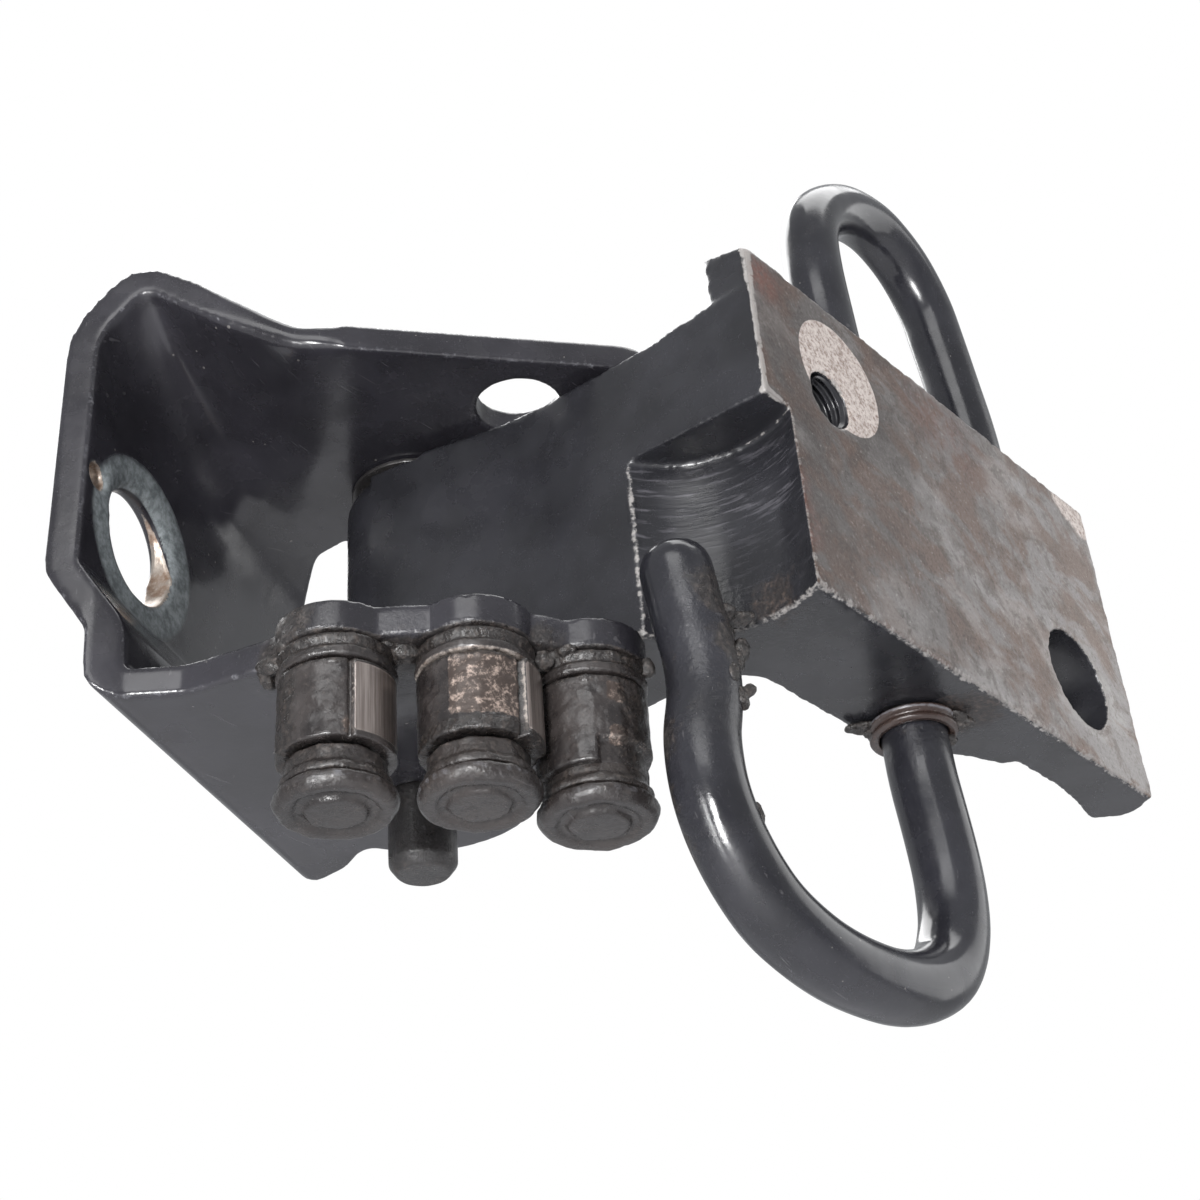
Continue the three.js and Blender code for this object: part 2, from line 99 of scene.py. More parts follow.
def turned(points, angle):
    """The points turned about z."""
    c, s = math.cos(angle), math.sin(angle)
    p = np.atleast_2d(np.asarray(points, float))
    return np.stack([c * p[:, 0] - s * p[:, 1], s * p[:, 0] + c * p[:, 1], p[:, 2]], 1)


def world(points):
    return (np.atleast_2d(np.asarray(points, float)) - ORIGIN) * MM


def bracket_mm(points):
    return np.atleast_2d(points) / MM + ORIGIN


def leaf_to_bracket(points):
    return turned(points, LEAF_TURN) + HINGE


def leaf_mm(points):
    return turned(bracket_mm(points) - HINGE, -LEAF_TURN)


def plate_point(along, depth, z):
    """Leaf frame place of a point given along the mounting face, behind it and up."""
    return turned([along, depth, z], PLATE_TURN)[0] + PLATE_CORNER


def roller_centre(i):
    a = math.radians(ROLLER_ANGLES[i])
    return HINGE + ROLLER_ORBIT * np.array([math.cos(a), math.sin(a), 0.0])


# ---------- meshes


def new_object(name, mesh, material, body, *replaced):
    """A smooth-shaded piece that moves with a body and stands for the replaced nodes."""
    mesh.materials.clear()
    mesh.materials.append(material)
    for polygon in mesh.polygons:
        polygon.use_smooth = True
    obj = bpy.data.objects.new(name, mesh)
    bpy.context.scene.collection.objects.link(obj)
    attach(obj, body)
    if replaced:
        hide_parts(*replaced)
    return obj


def mesh_from(name, vertices, faces):
    mesh = bpy.data.meshes.new(name)
    mesh.from_pydata([tuple(v) for v in vertices], [], faces)
    mesh.validate()
    return mesh


def tube_faces(rings, sides):
    """Faces between rings of vertices that follow each other."""
    faces = []
    for a in range(0, (rings - 1) * sides, sides):
        b = a + sides
        faces += [(a + k, a + (k + 1) % sides, b + (k + 1) % sides, b + k) for k in range(sides)]
    return faces


def coordinates(mesh):
    co = np.empty(len(mesh.vertices) * 3, np.float32)
    mesh.vertices.foreach_get("co", co)
    return co.reshape(-1, 3).astype(float)


def normals(mesh):
    no = np.empty(len(mesh.vertices) * 3, np.float32)
    mesh.vertex_normals.foreach_get("vector", no)
    return no.reshape(-1, 3).astype(float)


def put(mesh, points):
    mesh.vertices.foreach_set("co", np.asarray(points, np.float32).ravel())
    mesh.update()


def paint(mesh, name, values):
    """Stores a mask of 0..1 for the materials."""
    layer = mesh.attributes.new(name, "FLOAT", "POINT")
    layer.data.foreach_set("value", np.clip(values, 0, 1).astype(np.float32))


def remeshed(source_mesh, voxel, smoothing):
    """A fine, softly rounded copy of a solid: an even skin of small faces."""
    temp = bpy.data.objects.new("temp", source_mesh.copy())
    bpy.context.scene.collection.objects.link(temp)
    remesh = temp.modifiers.new("skin", "REMESH")
    remesh.mode = "VOXEL"
    remesh.voxel_size = voxel * MM
    smooth = temp.modifiers.new("soft", "SMOOTH")
    smooth.iterations = smoothing
    graph = bpy.context.evaluated_depsgraph_get()
    mesh = bpy.data.meshes.new_from_object(temp.evaluated_get(graph))
    bpy.data.objects.remove(temp)
    return mesh


def snap_round(points, direction, centre, axis, radius, low, high):
    """Pulls points that lie on a round wall exactly onto it. axis is a unit vector."""
    reach = 0.14
    offset = points - centre
    along = offset @ axis
    radial = offset - np.outer(along, axis)
    distance = np.linalg.norm(radial, axis=1)
    unit = radial / np.maximum(distance, 1e-9)[:, None]
    facing = np.abs((unit * direction).sum(1)) > 0.93
    near = (np.abs(distance - radius) < reach) & facing & (along > low) & (along < high)
    points[near] += unit[near] * (radius - distance[near])[:, None]


def band(value, low, high, soft):
    """1 inside low..high, fading to 0 over soft on both sides."""
    up = np.clip((value - low) / soft + 0.5, 0, 1)
    down = np.clip((high - value) / soft + 0.5, 0, 1)
    return up * down


def roughness_field(points, scale, octaves, seed):
    """Smooth noise in -1..1 at each point; points in millimetres, scale is the blob size."""
    shift = Vector((seed * 17.3, seed * 5.1, seed * 9.7))
    return np.array(
        [noise.fractal(Vector(p) / scale + shift, 1.0, 2.0, octaves) for p in points]
    )


def revolve(profile, sides):
    """Closed lathe mesh about z. The (radius, z) profile ends on the axis or closes on itself."""
    closed = profile[0][0] > 1e-6
    vertices, rings, faces = [], [], []
    for r, z in profile:
        if r < 1e-6:
            rings.append([len(vertices)])
            vertices.append((0, 0, z))
        else:
            start = len(vertices)
            rings.append(list(range(start, start + sides)))
            for k in range(sides):
                a = 2 * math.pi * k / sides
                vertices.append((r * math.cos(a), r * math.sin(a), z))
    pairs = list(zip(rings, rings[1:] + rings[:1] if closed else rings[1:]))
    for a, b in pairs:
        for k in range(sides):
            n = (k + 1) % sides
            if len(a) == 1:
                faces.append((a[0], b[n], b[k]))
            elif len(b) == 1:
                faces.append((a[k], a[n], b[0]))
            else:
                faces.append((a[k], a[n], b[n], b[k]))
    return np.array(vertices, float), faces


def softened(profile, radius):
    """Rounds the corners of a lathe profile."""
    steps = 3
    points = [np.array(p, float) for p in profile]
    closed = profile[0][0] > 1e-6
    out = []
    count = len(points)
    for i, p in enumerate(points):
        if not closed and i in (0, count - 1):
            out.append(tuple(p))
            continue
        a, b = points[i - 1] - p, points[(i + 1) % count] - p
        la, lb = np.linalg.norm(a), np.linalg.norm(b)
        r = min(radius, la * 0.45, lb * 0.45)
        start, end = p + a / la * r, p + b / lb * r
        for k in range(steps + 1):
            t = k / steps
            out.append(tuple((1 - t) ** 2 * start + 2 * t * (1 - t) * p + t * t * end))
    return out


def filled(profile, step):
    """Adds points along long straight stretches of a profile, so that it can be displaced."""
    out = []
    count = len(profile)
    closed = profile[0][0] > 1e-6
    for i in range(count if closed else count - 1):
        a, b = np.array(profile[i]), np.array(profile[(i + 1) % count])
        parts = max(1, int(np.linalg.norm(b - a) / step))
        out += [tuple(a + (b - a) * k / parts) for k in range(parts)]
    if not closed:
        out.append(tuple(profile[-1]))
    return out


# ---------- shaders


class Shader:
    """A Principled material and short names for the nodes that feed it. Coordinates are millimetres."""

    def __init__(self, name):
        self.material = bpy.data.materials.new(name)
        self.material.use_nodes = True
        self.nodes = self.material.node_tree.nodes
        self.links = self.material.node_tree.links
        self.nodes.clear()
        out = self.nodes.new("ShaderNodeOutputMaterial")
        self.bsdf = self.nodes.new("ShaderNodeBsdfPrincipled")
        self.links.new(self.bsdf.outputs[0], out.inputs["Surface"])
        place = self.nodes.new("ShaderNodeTexCoord")
        scale = self.nodes.new("ShaderNodeVectorMath")
        scale.operation = "SCALE"
        scale.inputs["Scale"].default_value = 1 / MM
        self.links.new(place.outputs["Object"], scale.inputs[0])
        self.place = scale.outputs[0]

    def feed(self, socket, value):
        """Links another node's output to a socket, or sets the socket's value."""
        if hasattr(value, "is_output"):
            self.links.new(value, socket)
        else:
            socket.default_value = value

    def stretched(self, scale, turn=0.0, tilt=0.0):
        """Turned coordinates, scaled so that a pattern grows long where the scale is small."""
        mapping = self.nodes.new("ShaderNodeMapping")
        mapping.vector_type = "POINT"
        self.feed(mapping.inputs["Vector"], self.place)
        mapping.inputs["Rotation"].default_value = (0, tilt, turn)
        grow = self.nodes.new("ShaderNodeVectorMath")
        grow.operation = "MULTIPLY"
        self.feed(grow.inputs[0], mapping.outputs[0])
        grow.inputs[1].default_value = scale
        return grow.outputs[0]

    def noise(self, size, detail, rough=0.55, twist=0.0, place=None, seed=0.0):
        tex = self.nodes.new("ShaderNodeTexNoise")
        tex.noise_dimensions = "4D"
        self.feed(tex.inputs["Vector"], place or self.place)
        tex.inputs["W"].default_value = seed
        tex.inputs["Scale"].default_value = 1 / size
        tex.inputs["Detail"].default_value = detail
        tex.inputs["Roughness"].default_value = rough
        tex.inputs["Distortion"].default_value = twist
        return tex.outputs["Fac"]

    def cells(self, size):
        tex = self.nodes.new("ShaderNodeTexVoronoi")
        self.feed(tex.inputs["Vector"], self.place)
        tex.inputs["Scale"].default_value = 1 / size
        return tex.outputs["Distance"]

    def attribute(self, name):
        node = self.nodes.new("ShaderNodeAttribute")
        node.attribute_name = name
        return node.outputs["Fac"]

    def remap(self, value, low, high, to_low=0.0, to_high=1.0):
        node = self.nodes.new("ShaderNodeMapRange")
        node.interpolation_type = "SMOOTHSTEP"
        self.feed(node.inputs["Value"], value)
        node.inputs["From Min"].default_value = low
        node.inputs["From Max"].default_value = high
        node.inputs["To Min"].default_value = to_low
        node.inputs["To Max"].default_value = to_high
        return node.outputs["Result"]

    def math(self, operation, a, b):
        node = self.nodes.new("ShaderNodeMath")
        node.operation = operation
        self.feed(node.inputs[0], a)
        self.feed(node.inputs[1], b)
        return node.outputs[0]

    def times(self, a, b):
        return self.math("MULTIPLY", a, b)

    def ragged(self, mask, size, amount, seed):
        """A painted mask whose border is broken up by noise."""
        rough = self.noise(size, 5.0, 0.65, seed=seed)
        moved = self.math("ADD", mask, self.times(self.math("SUBTRACT", rough, 0.5), amount))
        cut = self.remap(moved, 0.38, 0.62)
        return self.times(cut, self.remap(mask, 0.0, 0.12))

    def mix(self, factor, a, b):
        node = self.nodes.new("ShaderNodeMix")
        node.data_type = "RGBA"
        self.feed(node.inputs["Factor"], factor)
        self.feed(node.inputs["A"], self.colour(a))
        self.feed(node.inputs["B"], self.colour(b))
        return node.outputs["Result"]

    def tint(self, colour, mask, amount, other):
        """Turns a colour towards another one inside a mask."""
        return self.mix(self.times(mask, amount), colour, other)

    def blend(self, factor, a, b):
        node = self.nodes.new("ShaderNodeMix")
        node.data_type = "FLOAT"
        self.feed(node.inputs["Factor"], factor)
        self.feed(node.inputs["A"], a)
        self.feed(node.inputs["B"], b)
        return node.outputs["Result"]

    @staticmethod
    def colour(value):
        """8-bit display colour to linear; a socket passes through."""
        if hasattr(value, "is_output"):
            return value
        linear = [((c / 255 + 0.055) / 1.055) ** 2.4 if c > 10 else c / 3294 for c in value]
        return (*linear, 1.0)

    def bump(self, height, distance, strength, base=None):
        node = self.nodes.new("ShaderNodeBump")
        node.inputs["Strength"].default_value = strength
        node.inputs["Distance"].default_value = distance * MM
        self.feed(node.inputs["Height"], height)
        if base is not None:
            self.feed(node.inputs["Normal"], base)
        return node.outputs["Normal"]

    def finish(self, colour, roughness, metallic, normal=None, coat=0.0):
        self.feed(self.bsdf.inputs["Base Color"], colour)
        self.feed(self.bsdf.inputs["Roughness"], roughness)
        self.feed(self.bsdf.inputs["Metallic"], metallic)
        if coat:
            self.bsdf.inputs["Coat Weight"].default_value = coat
            self.bsdf.inputs["Coat Roughness"].default_value = 0.12
        if normal is not None:
            self.feed(self.bsdf.inputs["Normal"], normal)
        return self.material


def old_paint(name, dark, light, gloss, seed):
    """Glossy black paint with masks for a washer's ring, worn edges, bare steel and grime."""
    s = Shader(name)
    cloud = s.noise(14, 4, seed=seed)
    fine = s.noise(0.35, 3, 0.7, seed=seed + 1)
    colour = s.mix(s.remap(cloud, 0.35, 0.68), dark, light)
    colour = s.tint(colour, s.remap(fine, 0.55, 0.8), 0.25, (84, 82, 84))
    specks = s.math("LESS_THAN", s.cells(1.9), s.remap(s.noise(6, 2, seed=seed + 2), 0.45, 0.8, 0.02, 0.13))
    colour = s.tint(colour, specks, 0.45, (140, 136, 132))
    rough = s.remap(s.noise(5, 4, seed=seed + 3), 0.3, 0.75, gloss - 0.05, gloss + 0.16)

    ring = s.attribute("ring")
    ring_colour = s.mix(s.remap(s.noise(1.1, 5, 0.7), 0.35, 0.65), (92, 98, 100), (146, 152, 154))
    colour = s.tint(colour, ring, 0.9, ring_colour)
    rough = s.blend(ring, rough, 0.55)

    edge = s.ragged(s.attribute("edge"), 0.9, 0.9, seed + 4)
    colour = s.tint(colour, edge, 0.6, (112, 112, 117))
    rough = s.blend(edge, rough, 0.36)

    bare = s.ragged(s.attribute("bare"), 0.8, 0.5, seed + 5)
    rust = s.remap(s.noise(2.6, 5, 0.7, seed=seed + 6), 0.42, 0.66)
    steel = s.mix(rust, (196, 186, 176), (120, 96, 78))
    colour = s.mix(bare, colour, steel)
    rough = s.blend(bare, rough, 0.38)
    metal = s.times(bare, s.remap(rust, 0, 1, 0.9, 0.35))

    grime_soft = s.attribute("grime")
    grime = s.ragged(grime_soft, 1.6, 0.8, seed + 7)
    mud = s.mix(s.remap(s.noise(0.7, 5, 0.7, seed=seed + 8), 0.45, 0.72), (34, 31, 30), (80, 73, 69))
    colour = s.tint(colour, grime, 0.85, mud)
    rough = s.blend(grime, rough, s.remap(s.noise(1.5, 3, seed=seed + 9), 0.35, 0.65, 0.22, 0.6))

    scratch_place = s.stretched((2.2, 0.12, 0.5), 0.4)
    scratch = s.remap(s.noise(0.9, 2, 0.5, place=scratch_place, seed=seed), 0.67, 0.73)
    colour = s.tint(colour, scratch, 0.16, (120, 118, 120))

    normal = s.bump(s.noise(1.6, 3, 0.5, seed=seed + 10), 0.035, 0.7)
    normal = s.bump(fine, 0.012, 0.6, normal)
    lumps = s.times(s.noise(0.9, 5, 0.65, seed=seed + 11), grime_soft)
    normal = s.bump(lumps, 0.55, 0.9, normal)
    return s.finish(colour, rough, metal, normal, coat=0.15)


def face_steel(s, speck):
    """Bare steel of the mounting face: cloudy, streaked and rusty, and lighter towards the far end and the
    bottom through painted light.
    """
    turn = -(PLATE_TURN + LEAF_TURN)
    streak = s.noise(1, 4, 0.55, 0.3, place=s.stretched((0.055, 0.055, 0.1), turn, -0.5))
    patch = s.noise(9, 5, 0.6, 0.6, place=s.stretched((0.8, 0.8, 1.3), turn, -0.48), seed=5)
    # light is a painted light gradient: every steel tone below grows lighter towards the far end of the
    # face and its bottom
    light = s.attribute("light")
    steel = s.mix(light, (84, 79, 77), (146, 142, 140))
    brown = s.mix(light, (84, 64, 54), (116, 97, 86))
    steel = s.tint(steel, s.remap(patch, 0.44, 0.55), 0.85, brown)
    steel = s.tint(steel, s.remap(streak, 0.48, 0.6), 0.6, s.mix(light, (122, 118, 116), (172, 169, 167)))
    cloudy = s.noise(3.6, 6, 0.7, 0.5, seed=15)
    steel = s.tint(steel, s.remap(cloudy, 0.49, 0.62), 0.6, s.mix(light, (56, 50, 47), (98, 86, 78)))
    steel = s.tint(steel, s.remap(speck, 0.54, 0.72), 0.65, (60, 51, 46))
    steel = s.tint(steel, s.remap(speck, 0.42, 0.25), 0.6, (192, 188, 184))
    blotch = s.times(s.attribute("dark"), s.remap(s.noise(2.2, 5, 0.7, seed=16), 0.3, 0.55))
    steel = s.tint(steel, blotch, 0.75, (62, 56, 54))
    red = s.times(s.attribute("rust"), s.remap(s.noise(1.5, 5, 0.7, seed=17), 0.35, 0.6))
    steel = s.tint(steel, red, 0.8, (112, 62, 50))
    pale = s.ragged(s.attribute("pale"), 0.9, 0.7, 7)
    pinkish = s.mix(s.remap(s.noise(0.6, 4, 0.75, seed=8), 0.4, 0.66), (206, 196, 190), (132, 112, 102))
    return s.mix(pale, steel, pinkish)


def leaf_shader(name):
    """Forged leaf: black paint, a worn bare mounting face with painted light across it, a machined pocket
    with a painted highlight along its top, and washer wear.
    """
    s = Shader(name)
    cloud = s.noise(11, 4)
    fine = s.noise(0.3, 3, 0.7)
    colour = s.mix(s.remap(cloud, 0.35, 0.68), (29, 29, 32), (39, 39, 43))
    colour = s.tint(colour, s.remap(fine, 0.55, 0.8), 0.25, (86, 84, 86))
    rough = s.remap(s.noise(4, 4, seed=3), 0.3, 0.75, 0.2, 0.36)

    speck = s.noise(0.55, 5, 0.75, seed=6)
    bare = s.ragged(s.attribute("bare"), 0.7, 0.35, 9)
    colour = s.mix(bare, colour, face_steel(s, speck))
    rough = s.blend(bare, rough, s.remap(speck, 0.3, 0.7, 0.42, 0.62))
    metal = s.times(bare, 0.45)

    # The edge mask holds worn edges and a painted highlight along the pocket's top arc
    edge = s.ragged(s.attribute("edge"), 0.8, 1.3, 10)
    colour = s.tint(colour, edge, 0.8, (152, 148, 145))
    rough = s.blend(edge, rough, 0.42)

    pocket = s.attribute("pocket")
    lines = s.noise(0.6, 4, 0.6, 0.15, place=s.stretched((0.12, 0.12, 1.0)))
    bright = s.times(s.remap(lines, 0.52, 0.68), pocket)
    colour = s.tint(colour, bright, 0.35, (112, 110, 116))

    grime_soft = s.attribute("grime")
    grime = s.ragged(grime_soft, 1.5, 0.8, 11)
    mud = s.mix(s.remap(s.noise(0.7, 5, 0.7, seed=12), 0.45, 0.7), (34, 30, 29), (78, 66, 60))
    colour = s.tint(colour, grime, 0.8, mud)
    rough = s.blend(grime, rough, 0.5)

    normal = s.bump(s.noise(1.8, 3, 0.5, seed=13), 0.03, 0.6)
    normal = s.bump(s.times(speck, bare), 0.16, 0.8, normal)
    normal = s.bump(s.times(lines, pocket), 0.12, 0.8, normal)
    normal = s.bump(s.times(s.noise(0.9, 5, seed=14), grime_soft), 0.5, 0.9, normal)
    return s.finish(colour, rough, metal, normal, coat=0.1)


def roller_shader(name, seed):
    """Greasy dark steel with polished strips, brown worn patches and dirt."""
    s = Shader(name)
    cloud = s.noise(4.5, 5, 0.6, seed=seed)
    fine = s.noise(0.5, 4, 0.7, seed=seed + 1)
    colour = s.mix(s.remap(cloud, 0.38, 0.62), (32, 29, 29), (52, 48, 47))
    colour = s.tint(colour, s.remap(fine, 0.55, 0.75), 0.5, (84, 76, 71))
    rough = s.remap(s.noise(2.2, 4, seed=seed + 2), 0.35, 0.65, 0.14, 0.4)

    worn = s.ragged(s.attribute("worn"), 0.8, 1.1, seed + 3)
    skin = s.mix(s.remap(s.noise(0.8, 5, 0.75, seed=seed + 4), 0.48, 0.66), (66, 56, 51), (172, 154, 143))
    colour = s.tint(colour, worn, 0.8, skin)
    rough = s.blend(worn, rough, 0.45)

    polished = s.remap(s.attribute("polished"), 0.35, 0.65)
    lines = s.noise(0.5, 3, 0.6, place=s.stretched((1.6, 1.6, 0.05)), seed=seed + 5)
    steel = s.mix(s.remap(lines, 0.35, 0.7), (142, 131, 126), (182, 171, 165))
    colour = s.mix(polished, colour, steel)
    rough = s.blend(polished, rough, 0.3)
    metal = s.math("MAXIMUM", s.times(worn, 0.3), s.times(polished, 0.9))

    edge = s.ragged(s.attribute("edge"), 0.5, 0.9, seed + 6)
    colour = s.tint(colour, edge, 0.6, (170, 160, 152))
    grime_soft = s.attribute("grime")
    grime = s.ragged(grime_soft, 1.2, 0.9, seed + 7)
    mud = s.mix(s.remap(s.noise(0.6, 5, 0.7, seed=seed + 8), 0.46, 0.7), (29, 26, 25), (64, 57, 53))
    colour = s.tint(colour, grime, 0.85, mud)
    rough = s.blend(grime, rough, s.remap(s.noise(1.2, 3, seed=seed + 9), 0.35, 0.65, 0.18, 0.5))
    normal = s.bump(s.noise(1.3, 4, 0.6, seed=seed + 10), 0.07, 0.8)
    normal = s.bump(s.times(s.noise(0.8, 5, seed=seed + 11), grime_soft), 0.6, 0.9, normal)
    return s.finish(colour, rough, metal, normal, coat=0.1)


def bronze_shader(name):
    """Dark, oily sintered bronze."""
    s = Shader(name)
    cloud = s.noise(2.5, 5, 0.65)
    colour = s.mix(s.remap(cloud, 0.36, 0.64), (40, 36, 31), (66, 58, 47))
    colour = s.mix(s.remap(s.noise(1.2, 4, seed=2), 0.55, 0.75), colour, (52, 44, 36))
    rough = s.remap(cloud, 0.3, 0.7, 0.35, 0.6)
    normal = s.bump(s.noise(0.7, 4, seed=3), 0.06, 0.7)
    return s.finish(colour, rough, 0.8, normal)


# ---------- masks


def edge_ends(mesh):
    edges = np.empty(len(mesh.edges) * 2, np.int32)
    mesh.edges.foreach_get("vertices", edges)
    return edges.reshape(-1, 2).T


def neighbour_mean(ends, values):
    """The mean of each vertex's neighbours, for one column of values."""
    a, b = ends
    size = len(values)
    total = np.bincount(a, values[b], size) + np.bincount(b, values[a], size)
    return total / np.maximum(np.bincount(a, minlength=size) + np.bincount(b, minlength=size), 1)


def convexity(mesh, points, facing):
    """How far each vertex stands out from its neighbours, in millimetres."""
    ends = edge_ends(mesh)
    mean = np.stack([neighbour_mean(ends, column) for column in points.T], 1)
    return ((points - mean) * facing).sum(1)


def worn_corners(mesh, points, facing, full=0.013):
    """0 on flat stretches, rising to 1 where a vertex stands out by the full amount."""
    least = 0.003
    return np.clip((convexity(mesh, points, facing) - least) / (full - least), 0, 1)


def spread(mesh, values, rounds):
    """Blurs a mask over the surface."""
    ends = edge_ends(mesh)
    for _ in range(rounds):
        values = (values + 4 * neighbour_mean(ends, values)) / 5
    return values


def relax(mesh, points, weight, rounds):
    """Smooths the shape where the weight is above 0."""
    ends = edge_ends(mesh)
    for _ in range(rounds):
        for k in range(3):
            points[:, k] += 0.6 * weight * (neighbour_mean(ends, points[:, k]) - points[:, k])


def near_points(points, centres, radius):
    """1 at the centres, fading to 0 at the radius."""
    best = np.full(len(points), 1e9)
    for c in centres:
        best = np.minimum(best, np.linalg.norm(points - np.asarray(c, float), axis=1))
    return np.clip(1 - best / radius, 0, 1)


# ---------- pillar bracket


def build_bracket(material):
    """Pressed pillar bracket. The raised corner over the upper ear is smoothed more than the rest."""
    mesh = remeshed(frame["nodes"]["pillar_bracket"].data, voxel=0.31, smoothing=20)
    points = bracket_mm(coordinates(mesh))
    x, y, z = points.T
    raised = band(x, -9, 30, 8) * band(y, 6, 44, 6) * band(z, 28, 90, 8)
    relax(mesh, points, raised, 220)
    put(mesh, world(points))
    facing = normals(mesh)
    snap_round(points, facing, HINGE, Z_AXIS, EAR_RADIUS, -6, 47)
    for i in range(3):
        snap_round(points, facing, roller_centre(i), Z_AXIS, LOBE_RADIUS, -6, 0)
    snap_round(points, facing, BOLT_HOLE, X_AXIS, BOLT_HOLE_RADIUS, -1, 5)
    snap_round(points, facing, EAR_HOLE, Z_AXIS, EAR_HOLE_RADIUS, -3, 3)
    put(mesh, world(points))
    facing = normals(mesh)

    from_bolt = np.hypot(*(points - BOLT_HOLE).T[1:])
    from_pilot = np.hypot(*(points - PILOT_HOLE).T[1:])
    wall = points[:, 0] < 5.5
    inward = facing[:, 0] > 0.6
    paint(mesh, "ring", band(from_bolt, BOLT_HOLE_RADIUS + 0.1, 11.8, 0.8) * wall * inward)
    sideways = wall * (np.abs(facing[:, 0]) < 0.7)
    bores = np.maximum(band(from_bolt, 0, BOLT_HOLE_RADIUS + 0.25, 0.2), band(from_pilot, 0, 2.0, 0.2))
    back = np.clip((-facing[:, 0] - 0.9) / 0.08, 0, 1) * (points[:, 0] < 0.2)
    paint(mesh, "bare", np.maximum(bores * sideways, back * 0.45 * (from_bolt < 15)))
    paint(mesh, "edge", spread(mesh, worn_corners(mesh, points, facing), 1) * 0.4)

    lobes = near_points(points, [roller_centre(i) + [0, 0, -5.1] for i in range(3)], 11.5)
    under = np.clip((-facing[:, 2] - 0.3) / 0.4, 0, 1) * (points[:, 2] < -3.5)
    front_rim = [(29, 2.4, -4.4), (32, 2.0, -2.4), (41.5, 8, -4.8), (54.5, 14.5, -5)]
    front = near_points(points, front_rim, 6)
    hole = near_points(points, [EAR_HOLE], 9) * 0.4
    bolt = near_points(points, [BOLT_HOLE + [4, 0, 0]], 14) * 0.3
    paint(mesh, "grime", np.maximum.reduce([lobes * under * 1.5, front * 1.3, hole, bolt]))
    new_object("bracket_skin", mesh, material, "pillar_side", "pillar_bracket")


# ---------- door leaf


def blend_barrel(points, direction):
    """The arm's front flows into the barrel, and the barrel's top has a round shoulder."""
    flat_radius, wall_top = 5.3, 37.2
    x, y, z = points.T
    r = np.hypot(x, y)
    shoulder = (r > flat_radius) & (r < 9.6) & (z > wall_top) & (z < 42)
    shoulder &= ((x < 3) | (y < -3)) & (x < 9.4)
    dr, dz = r - flat_radius, z - wall_top
    shrink = np.maximum(dr, dz) / np.maximum(np.hypot(dr, dz), 1e-6)
    new_r = flat_radius + dr * shrink
    points[shoulder, 2] = (wall_top + dz * shrink)[shoulder]
    points[shoulder, 0] = (x * new_r / np.maximum(r, 1e-6))[shoulder]
    points[shoulder, 1] = (y * new_r / np.maximum(r, 1e-6))[shoulder]

    x, y, z = points.T
    front = -np.sqrt(np.maximum(BARREL_RADIUS**2 - x**2, ARM_FRONT**2))
    t = np.clip(x / BLEND_END, 0, 1)
    target = ARM_FRONT - (BARREL_RADIUS + ARM_FRONT) * (1 - t * t * (3 - 2 * t)) * (1 - t * 0.25)
    share = np.clip((-2 - y) / np.maximum(-2 - front, 0.1), 0, 1)
    move = np.minimum(target - front, 0) * share
    blended = (x > 0) & (x < BLEND_END)
    inside = blended & (y < -2) & (z < 45)
    points[inside, 1] += move[inside]
    front_face = blended & (direction[:, 1] < -0.35) & (z > 0.9) & (z < 40.3) & (points[:, 1] < -3.2)
    points[front_face, 1] = target[front_face]


